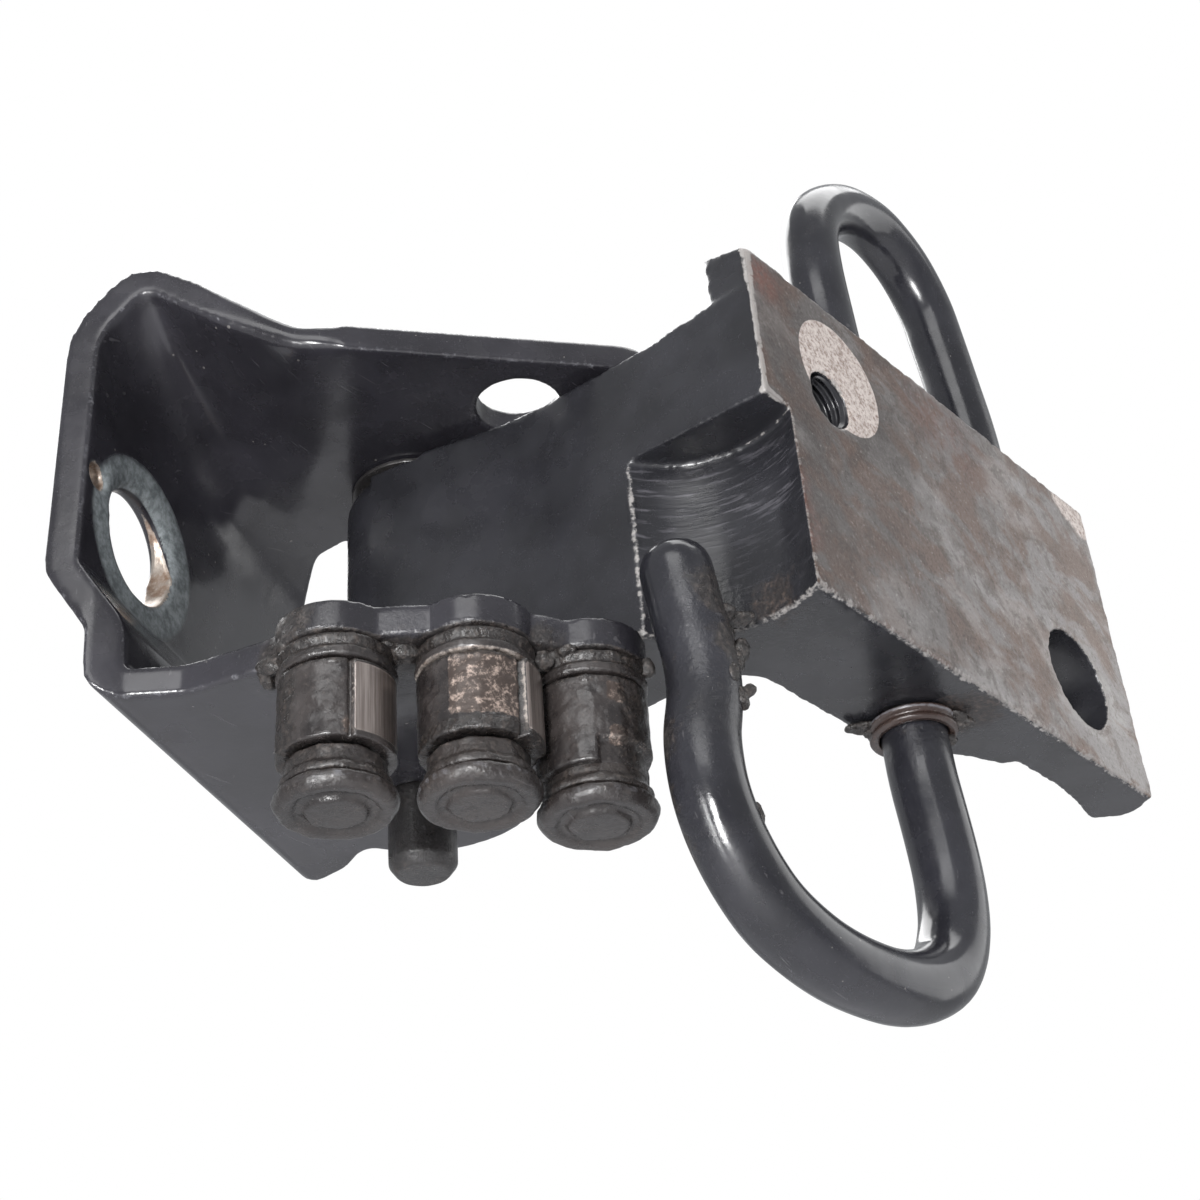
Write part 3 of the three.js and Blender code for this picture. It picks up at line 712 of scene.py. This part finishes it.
def paint_leaf(mesh, points, facing, flat, from_wall, edge):
    """Masks of the leaf. flat holds each point's place along the mounting face, behind it and up."""
    along, depth, height = flat.T
    normal_depth = turned(facing, -PLATE_TURN)[:, 1]
    face = band(depth, -1, 0.42, 0.15) * np.clip((-normal_depth - 0.35) / 0.3, 0, 1)
    paint(mesh, "bare", face)
    mark = np.hypot(along - WASHER_MARK[0], height - WASHER_MARK[1])
    hole = np.hypot(along - TAPPED_HOLE[0], height - TAPPED_HOLE[1])
    washer = band(mark, -1, WASHER_MARK_RADIUS, 0.5) * (hole > TAPPED_HOLE_RADIUS - 0.2)
    corner = near_points(flat, [(80.5, 0, 46.5), (77, 0, 48)], 5.5)
    paint(mesh, "pale", np.maximum(washer, corner * 1.4) * face)
    rust_top = near_points(flat, [(2.5, 0, 45)], 5)
    rust_foot = near_points(flat, [(2.5, 0, 11), (2.5, 0, 14), (3.5, 0, 8)], 4.5)
    rust_middle = near_points(flat, [(40, 0, 44), (46, 0, 42)], 9) * 0.4
    paint(mesh, "rust", np.maximum.reduce([rust_top, rust_foot, rust_middle]))
    dark = near_points(flat, [(7, 0, 18), (9, 0, 10), (7, 0, 26), (4, 0, 35), (24, 0, 33)], 9)
    dim = near_points(flat, [(24, 0, 16), (32, 0, 5)], 9) * 0.5
    paint(mesh, "dark", np.maximum(dark, dim))

    near_face = band(depth, -1, 1.2, 0.8) * (along > -2)
    pocket_edge = band(from_wall, 14.2, 16.4, 0.6) * (height < 27)
    left = band(along, -1.0, 3.0, 1.0)
    strength = np.maximum(near_face * (0.5 + 0.2 * left), pocket_edge * 0.5)
    strength = np.maximum(strength, 0.18)
    # Painted highlight: a bright line along the top arc of the pocket, mixed into the edge mask
    painted_pocket_highlight = band(height, 24.9, 25.25, 0.25) * band(from_wall, 14.6, 15.3, 0.4) * 0.42
    paint(mesh, "edge", np.maximum(edge * strength, painted_pocket_highlight))
    milled = np.maximum(band(height, 12, 24.6, 3.0), 0.25 * band(height, 1, 24.6, 1.5))
    paint(mesh, "pocket", band(from_wall, 14.6, 15.45, 0.4) * milled)
    # Painted light: the mounting face grows lighter towards its far end and its bottom
    paint(mesh, "light", np.clip((along - 8) / 68, 0, 1) ** 1.3 * np.clip(1.15 - height / 90, 0, 1))

    rod_exit = near_points(points, [(50.9, 35.4, 0), (46, 38, 0), (57, 38, 0)], 9) * (height < 3)
    barrel_foot = near_points(points, [(8.5, -4.6, 2), (20, -4.6, 0), (30, -4.6, 0)], 9) * 0.5
    tip = near_points(points, [(50, -4, 0), (45, 0, 0), (52, 2, 2)], 9) * 0.7
    paint(mesh, "grime", np.maximum.reduce([rod_exit, barrel_foot, tip]))


def build_leaf(material):
    """Forged door leaf with chipped corners."""
    mesh = remeshed(frame["nodes"]["door_leaf"].data, voxel=0.33, smoothing=12)
    points = leaf_mm(coordinates(mesh))
    facing = turned(normals(mesh), -LEAF_TURN)
    snap_round(points, facing, np.zeros(3), Z_AXIS, BARREL_RADIUS, 0.5, 41)
    snap_round(points, facing, POCKET, Z_AXIS, POCKET_RADIUS, 0.3, 25.2)

    flat = turned(points - PLATE_CORNER, -PLATE_TURN)
    plate_axis = turned([0, 1, 0], PLATE_TURN)[0]
    for (m, z), r, deep in ((BIG_HOLE, BIG_HOLE_RADIUS, 8.2), (TAPPED_HOLE, TAPPED_HOLE_RADIUS, 13.7)):
        centre = plate_point(m, 0, z)
        snap_round(points, facing, centre, plate_axis, r, 0.3, deep)

    blend_barrel(points, facing)
    put(mesh, world(leaf_to_bracket(points)))
    facing = turned(normals(mesh), -LEAF_TURN)
    edge = spread(mesh, worn_corners(mesh, points, facing, 0.011), 1)
    chipped = spread(mesh, worn_corners(mesh, points, facing), 2)
    from_wall = np.hypot(*(points - POCKET).T[:2])
    points += facing * (chipped * roughness_field(points, 1.6, 2, 3.0) * 0.14)[:, None]
    points += facing * (roughness_field(points, 7.0, 2, 1.0) * 0.05)[:, None]
    put(mesh, world(leaf_to_bracket(points)))
    paint_leaf(mesh, points, facing, flat, from_wall, edge)
    new_object("leaf_skin", mesh, material, "door_side", "door_leaf")


def build_thread(material):
    """Helical ridges inside the tapped hole."""
    pitch, turns, first, ridge_height = 1.25, 9, 0.5, 0.62
    root = TAPPED_HOLE_RADIUS - 0.04
    sides, steps = 72, 10
    vertices = []
    for k in range(turns * steps + 1):
        for n in range(sides):
            a = 2 * math.pi * n / sides
            phase = (k / steps + n / sides) % 1.0
            r = root - ridge_height * max(0.0, 1 - abs(phase - 0.5) * 2.6)
            across, up = TAPPED_HOLE[0] + r * math.cos(a), TAPPED_HOLE[1] + r * math.sin(a)
            vertices.append((across, first + (k / steps) * pitch, up))
    local = turned(np.array(vertices), PLATE_TURN) + PLATE_CORNER
    mesh = mesh_from("thread", world(leaf_to_bracket(local)), tube_faces(turns * steps + 1, sides))
    obj = new_object("tapped_thread", mesh, material, "door_side")


# ---------- torsion rod


def rod_line():
    """Centre line in the leaf frame, from the fixed end in the lug to the free tip in the pocket."""

    def along(distance, z):
        c, s = math.cos(PLATE_TURN), math.sin(PLATE_TURN)
        return np.array([ROD_HIGH[0] + distance * c, ROD_HIGH[1] + distance * s, z])

    def across(share, z):
        flat = ROD_LOW + (ROD_LEG - ROD_LOW) * share
        return np.array([flat[0], flat[1], z])

    # Upper loop: distance beyond the straight length, and height. Lower loop: share of the way from the
    # exit to the free leg, and height.
    upper = [(38, 66), (36, 75.5), (34.2, 83), (31.9, 90.6), (27.2, 96.4), (19.8, 99.1), (11.4, 97.2)]
    upper += [(4.1, 91.8), (0, 85.5), (-1, 77)]
    lower = [(-0.04, -22), (-0.01, -29), (0.08, -34.7), (0.27, -38.3), (0.48, -39), (0.67, -37.9)]
    lower += [(0.84, -34.8), (0.96, -29.3), (1.02, -23.6), (1.03, -17.5), (1, -11.5), (1, -6.5)]
    return np.array(
        [plate_point(76.2, 12.3, z) for z in (21, 30, 40, 52.6, 57.6)]
        + [along(*p) for p in upper]
        + [ROD_HIGH + (ROD_LOW - ROD_HIGH) * t for t in (0, 0.2, 0.5, 0.8, 0.95, 1)]
        + [across(*p) for p in lower]
        + [np.array([45.5, -6, -1.5]), np.array([45.3, -7, 3.5])]
    )


def smooth_line(knots, spacing):
    """Centripetal Catmull-Rom curve through the knots, at even spacing."""
    p = np.vstack([2 * knots[0] - knots[1], knots, 2 * knots[-1] - knots[-2]])
    out = []
    for i in range(1, len(p) - 2):
        a, b, c, d = p[i - 1 : i + 3]
        t0 = 0.0
        t1 = t0 + np.linalg.norm(b - a) ** 0.5
        t2 = t1 + np.linalg.norm(c - b) ** 0.5
        t3 = t2 + np.linalg.norm(d - c) ** 0.5
        for t in np.linspace(t1, t2, 40, endpoint=False):
            a1 = (t1 - t) / (t1 - t0) * a + (t - t0) / (t1 - t0) * b
            a2 = (t2 - t) / (t2 - t1) * b + (t - t1) / (t2 - t1) * c
            a3 = (t3 - t) / (t3 - t2) * c + (t - t2) / (t3 - t2) * d
            b1 = (t2 - t) / (t2 - t0) * a1 + (t - t0) / (t2 - t0) * a2
            b2 = (t3 - t) / (t3 - t1) * a2 + (t - t1) / (t3 - t1) * a3
            out.append((t2 - t) / (t2 - t1) * b1 + (t - t1) / (t2 - t1) * b2)
    out.append(p[-2])
    line = np.array(out)
    walked = np.concatenate([[0], np.cumsum(np.linalg.norm(np.diff(line, axis=0), axis=1))])
    stops = np.linspace(0, walked[-1], int(walked[-1] / spacing) + 1)
    return np.stack([np.interp(stops, walked, line[:, k]) for k in range(3)], 1)


def build_rod(material):
    """Bent torsion rod with a rounded free tip."""
    line = smooth_line(rod_line(), 0.5)
    for _ in range(4):
        line[1:-1] = (line[:-2] + line[1:-1] * 2 + line[2:]) / 4
    tangents = np.gradient(line, axis=0)
    tangents /= np.linalg.norm(tangents, axis=1)[:, None]
    tip_reach = np.array([0.7, 1.4, 2.2, 3.0, 3.6, 4.1, 4.45])
    tip_radii = [ROD_RADIUS, 4.2, 3.98, 3.55, 2.95, 2.1, 1.0]
    radii = np.concatenate([np.full(len(line), ROD_RADIUS), tip_radii])
    line = np.vstack([line, line[-1] + tangents[-1] * tip_reach[:, None]])
    tangents = np.vstack([tangents, np.repeat(tangents[-1:], len(tip_reach), 0)])
    sides = 44
    side = np.cross(tangents[0], [0.3, 0.8, 0.1])
    vertices = []
    for centre, tangent, radius in zip(line, tangents, radii):
        side = side - tangent * (side @ tangent)
        side /= np.linalg.norm(side)
        other = np.cross(tangent, side)
        for k in range(sides):
            a = 2 * math.pi * k / sides
            vertices.append(centre + radius * (math.cos(a) * side + math.sin(a) * other))
    faces = tube_faces(len(line), sides)
    faces.append(tuple(range(sides))[::-1])
    faces.append(tuple(range(len(vertices) - sides, len(vertices))))
    points = np.array(vertices)
    mesh = mesh_from("rod", world(leaf_to_bracket(points)), faces)
    facing = turned(normals(mesh), -LEAF_TURN)
    points += facing * (roughness_field(points, 9.0, 2, 4.0) * 0.05)[:, None]
    put(mesh, world(leaf_to_bracket(points)))
    leg = np.hypot(points[:, 0] - 45.6, points[:, 1] + 5.2) < 7
    touch = leg * band(points[:, 2], -21, -4, 5) * 0.35
    exit_dirt = near_points(points, [(50.9, 35.4, -2)], 8) * 0.8
    tip_dirt = near_points(points, [(48.5, -2.5, -3), (49.5, -4, -6), (49, -6, 0)], 6.5)
    foot_dirt = near_points(points, [(41.5, -6, -24), (42, -4, -28), (41.8, -8, -18)], 7)
    paint(mesh, "grime", np.maximum.reduce([touch, exit_dirt, tip_dirt, foot_dirt]))
    new_object("rod_skin", mesh, material, "door_side", "torsion_rod")


def build_ring(material):
    """Pressed ring where the rod leaves the leaf: two rolled lips."""
    axis = (ROD_HIGH - ROD_LOW) / np.linalg.norm(ROD_HIGH - ROD_LOW)
    profile = [(4.42, -2.3), (5.15, -2.42), (5.6, -2.1), (5.62, -1.75), (5.2, -1.45), (5.25, -1.15)]
    profile += [(5.75, -0.85), (5.8, -0.45), (5.5, -0.26), (4.42, -0.26)]
    points, faces = revolve(softened(profile, 0.18), 72)
    wobble = roughness_field(points, 2.4, 2, 6.0)
    points[:, :2] *= (1 + 0.012 * wobble)[:, None]
    start = ROD_LOW - axis * (ROD_LOW[2] / axis[2])
    turn = Vector((0, 0, 1)).rotation_difference(Vector(axis)).to_matrix()
    points = points @ np.array(turn).T + start * [1, 1, 0]
    mesh = mesh_from("ring", world(leaf_to_bracket(points)), faces)
    paint(mesh, "grime", np.full(len(points), 0.25))
    paint(mesh, "edge", band(points[:, 2], -0.95, -0.5, 0.3) * 0.6)
    new_object("ring_skin", mesh, material, "door_side", "rod_ring")


# ---------- round pieces


def lathe_piece(name, profile, centre, body, node, material, wobble, seed, corner=0.3, sides=96):
    """A turned piece about an upright axis, with a slightly uneven surface."""
    points, faces = revolve(filled(softened(profile, corner), 0.6), sides)
    points += np.array(centre) * [1, 1, 0]
    mesh = mesh_from(name, world(points), faces)
    points += normals(mesh) * (roughness_field(points, 2.2, 3, seed) * wobble)[:, None]
    put(mesh, world(points))
    new_object(name, mesh, material, body, node)
    return mesh, points


def build_hinge_pin(material):
    """Headed pin with a chamfered foot."""
    profile = [(0, -15.5), (3.25, -15.5), (4.25, -14.1), (4.25, 46.55), (7.2, 46.55), (7.2, 48.95)]
    profile += [(5.6, 50.15), (0, 50.15)]
    mesh, points = lathe_piece("pin_skin", profile, HINGE, "pillar_side", "hinge_pin", material, 0.03, 0.0)
    paint(mesh, "grime", band(points[:, 2], -20, -5, 2) * 0.45)
    paint(mesh, "edge", band(points[:, 2], -15.4, -14.0, 0.6) * 0.25)


# Each sleeve's strip beside its seam: start and end in degrees, how far it stands out, how much of its
# lower rim is cut away, and the sleeve's lower end
SEAMS = [(-49.0, 14.0, 0.12, 0.0, -18.1), (-20.0, 26.0, 0.75, 0.0, -18.1), (-68.0, 40.0, -0.05, 2.9, -19.3)]
SLEEVE_INNER, SLEEVE_OUTER, SLEEVE_TOP, SLEEVE_CORNER = 3.7, 6.5, -8.5, 0.35


def sleeve_outline(low):
    """Half section of a sleeve: straight bore, and an outside with rounded corners."""
    rows = 44
    inset = SLEEVE_OUTER - SLEEVE_CORNER
    quarter = np.linspace(0, math.pi / 2, 5)
    foot, head = low + SLEEVE_CORNER, SLEEVE_TOP - SLEEVE_CORNER
    outline = [(SLEEVE_INNER, low)]
    outline += [(inset + SLEEVE_CORNER * math.sin(a), foot - SLEEVE_CORNER * math.cos(a)) for a in quarter]
    outline += [(SLEEVE_OUTER, foot + (head - foot) * k / rows) for k in range(1, rows)]
    outline += [(inset + SLEEVE_CORNER * math.cos(a), head + SLEEVE_CORNER * math.sin(a)) for a in quarter]
    return outline + [(SLEEVE_INNER, SLEEVE_TOP)]


def build_sleeve(i, material):
    """Rolled steel sleeve with an open seam: one lip stands proud, or is cut short."""
    start, end, proud, cut, low = SEAMS[i]
    points, faces = revolve(sleeve_outline(low), 180)
    angle = np.degrees(np.arctan2(points[:, 1], points[:, 0]))
    radius = np.hypot(points[:, 0], points[:, 1])
    shell = np.clip((radius - 4.5) / 1.0, 0, 1)
    inside = band(angle, start, end, 1.6)
    move = proud * inside - 0.55 * band(angle, start - 5, start - 1.0, 1.6) * (proud > 0)
    if cut:
        short = inside * np.clip((low + cut - points[:, 2]) / 0.15 + 0.5, 0, 1)
        move = move - 0.8 * short
    grow = 1 + move * shell / np.maximum(radius, 1)
    points[:, :2] *= grow[:, None]
    points += roller_centre(i)
    name = f"sleeve_skin_{i + 1}"
    mesh = mesh_from(name, world(points), faces)
    bumps = roughness_field(points, 1.9, 3, 10.0 + i)
    calm = 1 - 0.85 * inside * (i < 2)
    points += normals(mesh) * (bumps * 0.14 * calm * shell)[:, None]
    put(mesh, world(points))
    z = points[:, 2]
    strip = band(angle, start + 1, end, 2.0) * band(z, -17.4, -9.0, 0.5) * shell
    grime, polished = np.full(len(z), 0.22), np.zeros(len(z))
    if i == 0:
        polished = strip
        worn = band(angle, -62, -50, 6) * band(z, -18, -15.5, 2) * 0.6
        grime = np.maximum(grime, band(angle, -180, -105, 20) * 0.7)
    elif i == 1:
        polished = strip * 0.9
        worn = band(angle, -96, -24, 5) * band(z, -16.2, -8.6, 1.2) * 0.95
        grime = np.maximum(grime, band(z, -19, -16.4, 1.2) * 0.8)
    else:
        worn = band(angle, -56, -36, 6) * np.maximum(band(z, -12, -9.4, 1.2), band(z, -17, -15, 1))
        grime = np.maximum(grime, band(angle, -50, 30, 15) * 0.55)
        grime = np.maximum(grime, band(angle, -175, -110, 15) * 0.5)
    grime = np.maximum(grime, band(z, -9.4, -8.0, 1.0) * 0.6) * (1 - polished)
    paint(mesh, "polished", polished)
    paint(mesh, "worn", worn)
    paint(mesh, "grime", grime)
    lip = band(angle, start - 1.2, start + 1.2, 1.5) * band(z, -17.8, -8.7, 0.4)
    if cut:
        step = low + cut
        lip = lip * band(z, low - 0.3, step + 0.6, 0.4)
        lip = 0.7 * np.maximum(lip, inside * band(z, step - 0.2, step + 0.5, 0.3))
    paint(mesh, "edge", lip * 0.6)
    new_object(name, mesh, material, f"roller_{i + 1}", f"roller_sleeve_{i + 1}")


def build_roller_hardware(i, paint_material, steel_material):
    """Headed roller pin, with the spacer under its sleeve and the washer over it."""
    number, seed = i + 1, 20.0 + i

    def turned_piece(name, node, profile, material, wobble, seed, sides=96):
        centre = roller_centre(i)
        return lathe_piece(name, profile, centre, "pillar_side", node, material, wobble, seed, sides=sides)

    profile = [(0, -24.2), (3.2, -24.2), (3.6, -23.6), (4.3, -23.5), (4.9, -24.0), (5.9, -24.1)]
    profile += [(6.5, -23.5), (6.75, -22.8), (6.7, -22.3), (6.35, -22.0)]
    profile += [(3.5, -22.0), (3.5, -1.2), (0, -1.2)]
    name, node = f"roller_pin_skin_{number}", f"roller_pin_{number}"
    mesh, points = turned_piece(name, node, profile, paint_material, 0.17, seed, 108)
    paint(mesh, "grime", band(points[:, 2], -30, -21.9, 0.4) * 0.42)
    paint(mesh, "edge", band(points[:, 2], -23.3, -22.2, 0.5) * 0.4)

    profile = [(3.7, -21.75), (6.1, -21.75), (6.25, -21.2), (5.9, -20.7), (5.55, -20.3), (5.5, -18.6)]
    profile += [(5.2, -18.35), (3.7, -18.35)]
    name, node = f"spacer_skin_{number}", f"roller_spacer_{number}"
    mesh, points = turned_piece(name, node, profile, paint_material, 0.22, seed + 5)
    paint(mesh, "grime", np.full(len(points), 0.52))

    profile = [(3.7, -8.22), (6.35, -8.22), (6.7, -7.85), (6.6, -7.1), (6.25, -6.75), (6.45, -6.3)]
    profile += [(6.7, -5.9), (6.6, -5.4), (3.7, -5.35)]
    name, node = f"washer_skin_{number}", f"roller_washer_{number}"
    mesh, points = turned_piece(name, node, profile, steel_material, 0.15, seed + 9)
    z = points[:, 2]
    # The third value lightens the washer's lower rim as a painted highlight
    dirt, wear, painted_rim_glint = (0.15, 0.5, 0.5) if i == 1 else (0.45, 0.1, 0.2)
    paint(mesh, "grime", band(z, -7.4, -5.2, 0.6) * 0.7 + band(z, -9, -7.6, 0.4) * dirt)
    paint(mesh, "worn", band(z, -8.5, -7.9, 0.3) * wear)
    paint(mesh, "edge", band(z, -8.4, -7.9, 0.2) * painted_rim_glint)


def build_bearings(washer_material, bush_material):
    """Thrust washers and barrel bushes, all round the hinge pin."""
    bore = 4.45

    def tube(node, low, height, radius, body, material, seed, corner):
        profile = [(bore, low), (radius, low), (radius, low + height), (bore, low + height)]
        lathe_piece(node + "_skin", profile, HINGE, body, node, material, 0.01, seed, corner)

    for node, low in (("lower_thrust_washer", -0.85), ("upper_thrust_washer", 41.45)):
        tube(node, low, 0.6, 8.7, "pillar_side", washer_material, 3.0, 0.12)
    for node, low in (("lower_barrel_bush", 0.2), ("upper_barrel_bush", 27.0)):
        tube(node, low, 14, 6, "door_side", bush_material, 4.0, 0.2)


# ---------- dirt


def build_dirt(name, lumps, body, material, seed):
    """Caked grease: uneven lumps melted together. Each lump is its centre and its three radii."""
    work = bmesh.new()
    for centre, radii in lumps:
        made = bmesh.ops.create_icosphere(work, subdivisions=3, radius=1.0)
        for v in made["verts"]:
            v.co = Vector(centre) + Vector(radii) * v.co
    mesh = bpy.data.meshes.new(name)
    work.to_mesh(mesh)
    work.free()
    put(mesh, world(coordinates(mesh)))
    skin = remeshed(mesh, voxel=0.22, smoothing=2)
    points = bracket_mm(coordinates(skin))
    facing = normals(skin)
    points += facing * (roughness_field(points, 1.3, 4, seed) * 0.32)[:, None]
    put(skin, world(points))
    paint(skin, "grime", np.full(len(points), 1.0))
    obj = new_object(name, skin, material, body)


# ---------- assembly

bracket_paint = old_paint("bracket_paint", (33, 32, 36), (45, 44, 49), 0.19, 0.0)
rod_paint = old_paint("rod_paint", (27, 27, 31), (41, 41, 46), 0.18, 30.0)
pin_paint = old_paint("pin_paint", (32, 31, 31), (48, 46, 46), 0.26, 50.0)
head_paint = old_paint("head_paint", (33, 30, 30), (52, 47, 45), 0.16, 70.0)
leaf_finish = leaf_shader("leaf_finish")
washer_steel = roller_shader("washer_steel", 90.0)
bronze = bronze_shader("bearing_bronze_finish")

build_bracket(bracket_paint)
build_leaf(leaf_finish)
build_thread(leaf_finish)
build_rod(rod_paint)
build_ring(old_paint("ring_paint", (44, 31, 27), (66, 55, 51), 0.18, 60.0))
build_hinge_pin(pin_paint)
build_bearings(pin_paint, bronze)
for n in range(3):
    build_sleeve(n, roller_shader(f"sleeve_steel_{n + 1}", 11.0 + 7 * n))
    build_roller_hardware(n, head_paint, washer_steel)

grease = old_paint("dried_grease", (26, 23, 22), (44, 37, 33), 0.26, 130.0)

# Lumps below the pillar's lower ear, beside the rod's free leg and round the rod's exit
PILLAR_DIRT = [
    ((30.2, 1.9, -4.0), (1.2, 1.1, 1.7)), ((31.9, 2.0, -2.0), (0.9, 0.8, 1.0)),
    ((28.0, 3.3, -5.6), (1.9, 1.1, 1.2)), ((26.6, 5.0, -5.8), (1.0, 1.6, 1.4)),
    ((41.9, 7.4, -5.3), (2.0, 1.4, 1.5)), ((40.6, 5.6, -4.8), (1.4, 0.9, 0.9)),
    ((55.3, 14.9, -5.6), (1.7, 1.3, 1.3)), ((65.4, 21.8, -5.5), (1.1, 1.4, 1.1)),
    ((33.6, 1.6, -5.2), (1.9, 0.9, 0.8)), ((47.5, 6.6, -5.3), (1.7, 1.0, 0.7)),
    ((58.0, 14.6, -5.3), (1.6, 1.0, 0.7)), ((38.6, 3.2, -5.3), (1.2, 0.9, 0.7)),
]
DOOR_DIRT = [
    ((76.4, 21.9, -5.8), (0.9, 1.5, 1.3)), ((75.9, 21.5, -7.2), (0.8, 1.3, 1.8)),
    ((76.0, 20.9, -12.4), (0.8, 1.3, 1.4)), ((76.6, 21.2, -11.6), (0.9, 0.5, 0.9)),
    ((75.8, 22.2, -26.3), (0.8, 1.2, 1.6)), ((75.6, 19.4, -9.9), (0.7, 1.1, 1.5)),
    ((74.6, 21.6, -3.6), (1.5, 1.3, 1.1)), ((75.2, 20.8, -0.9), (1.3, 1.2, 0.8)),
    ((73.6, 23.2, -0.9), (2.0, 1.4, 0.6)), ((76.2, 23.6, -0.6), (1.8, 1.4, 0.5)),
]
EXIT_DIRT = [
    ((84.3, 54.4, -0.7), (2.0, 1.3, 0.5)), ((86.2, 55.8, -0.9), (2.6, 1.7, 0.6)),
    ((82.9, 53.7, -0.8), (1.1, 0.8, 0.35)), ((96.0, 58.2, -1.2), (1.5, 1.2, 0.7)),
    ((93.6, 58.6, -2.7), (1.4, 1.1, 0.6)), ((95.0, 57.0, -0.6), (2.0, 1.8, 0.5)),
]
build_dirt("grease_pillar", PILLAR_DIRT, "pillar_side", grease, 1.0)
build_dirt("grease_leg", DOOR_DIRT, "door_side", grease, 2.0)
build_dirt("grease_exit", EXIT_DIRT, "door_side", grease, 3.0)

# ---------- stage

scene = bpy.context.scene
FLOOR_REACH, FLOOR_LEVEL = 15.0, -0.4
corners = [(FLOOR_REACH * x, FLOOR_REACH * y, FLOOR_LEVEL) for x, y in ((-1, -1), (1, -1), (1, 1), (-1, 1))]
floor_mesh = mesh_from("floor", corners, [(0, 1, 2, 3)])
floor = bpy.data.objects.new("floor", floor_mesh)
scene.collection.objects.link(floor)
pale = Shader("floor_pale")
floor_colour = pale.mix(pale.noise(60, 3), (218, 218, 220), (226, 226, 228))
floor_mesh.materials.append(pale.finish(floor_colour, 0.8, 0.0))

# The view looks up at the part from below and in front, a little to its right
EYE = Vector((0.11297, -0.19306, -0.14716))
LENS, SENSOR = 58.76, 36
TURN, PITCH, ROLL = math.radians(16), math.radians(33.62), math.radians(-4.75)
forward = Vector((-math.sin(TURN) * math.cos(PITCH), math.cos(TURN) * math.cos(PITCH), math.sin(PITCH)))
right_level = Vector((math.cos(TURN), math.sin(TURN), 0))
up_level = Vector((math.sin(TURN) * math.sin(PITCH), -math.cos(TURN) * math.sin(PITCH), math.cos(PITCH)))
right = math.cos(ROLL) * right_level + math.sin(ROLL) * up_level
up = -math.sin(ROLL) * right_level + math.cos(ROLL) * up_level

camera_data = bpy.data.cameras.new("camera")
camera_data.lens = LENS
camera_data.sensor_width = SENSOR
camera_data.clip_start = 0.01
camera = bpy.data.objects.new("camera", camera_data)
scene.collection.objects.link(camera)
camera.matrix_world = Matrix(
    (
        (right.x, up.x, -forward.x, EYE.x),
        (right.y, up.y, -forward.y, EYE.y),
        (right.z, up.z, -forward.z, EYE.z),
        (0, 0, 0, 1),
    )
)
scene.camera = camera

CENTRE = Vector((0.055, -0.005, 0.0))  # of the part


def soft_light(name, side, height, ahead, width, tall, power):
    """An area light placed relative to the view: side to the right, height up, ahead away from the eye."""
    data = bpy.data.lights.new(name, "AREA")
    data.shape = "RECTANGLE"
    data.size, data.size_y = width, tall
    data.energy = power
    obj = bpy.data.objects.new(name, data)
    scene.collection.objects.link(obj)
    obj.location = CENTRE + right * side + up * height + forward * ahead
    obj.rotation_euler = (CENTRE - obj.location).to_track_quat("-Z", "Y").to_euler()


soft_light("window", -0.12, 0.14, -0.60, 0.10, 0.22, 4.2)
soft_light("window_left", -0.33, -0.02, -0.60, 0.07, 0.50, 2.4)
soft_light("high_behind", -0.20, 0.78, -0.50, 0.6, 0.4, 2.4)
soft_light("right_ahead", 0.80, 0.05, 0.30, 0.5, 0.8, 1.8)
soft_light("far_side", -0.45, 0.35, 0.95, 0.8, 0.6, 7.0)
soft_light("overhead", 0.20, 0.90, 0.65, 0.8, 0.8, 6.0)

surround = bpy.data.worlds.new("surround")
scene.world = surround
surround.use_nodes = True
tree = surround.node_tree
tree.nodes.clear()


def background(colour, strength):
    node = tree.nodes.new("ShaderNodeBackground")
    node.inputs["Color"].default_value = (*colour, 1.0)
    node.inputs["Strength"].default_value = strength
    return node


# White behind the part, and a dimmer, slightly cool light on it from all sides
seen = background((1.0, 1.0, 1.0), 1.0)
fill = background((0.95, 0.97, 1.0), 0.48)
world_out = tree.nodes.new("ShaderNodeOutputWorld")
path = tree.nodes.new("ShaderNodeLightPath")
choose = tree.nodes.new("ShaderNodeMixShader")
tree.links.new(path.outputs["Is Camera Ray"], choose.inputs["Fac"])
tree.links.new(fill.outputs[0], choose.inputs[1])
tree.links.new(seen.outputs[0], choose.inputs[2])
tree.links.new(choose.outputs[0], world_out.inputs["Surface"])

scene.view_settings.view_transform = "Standard"
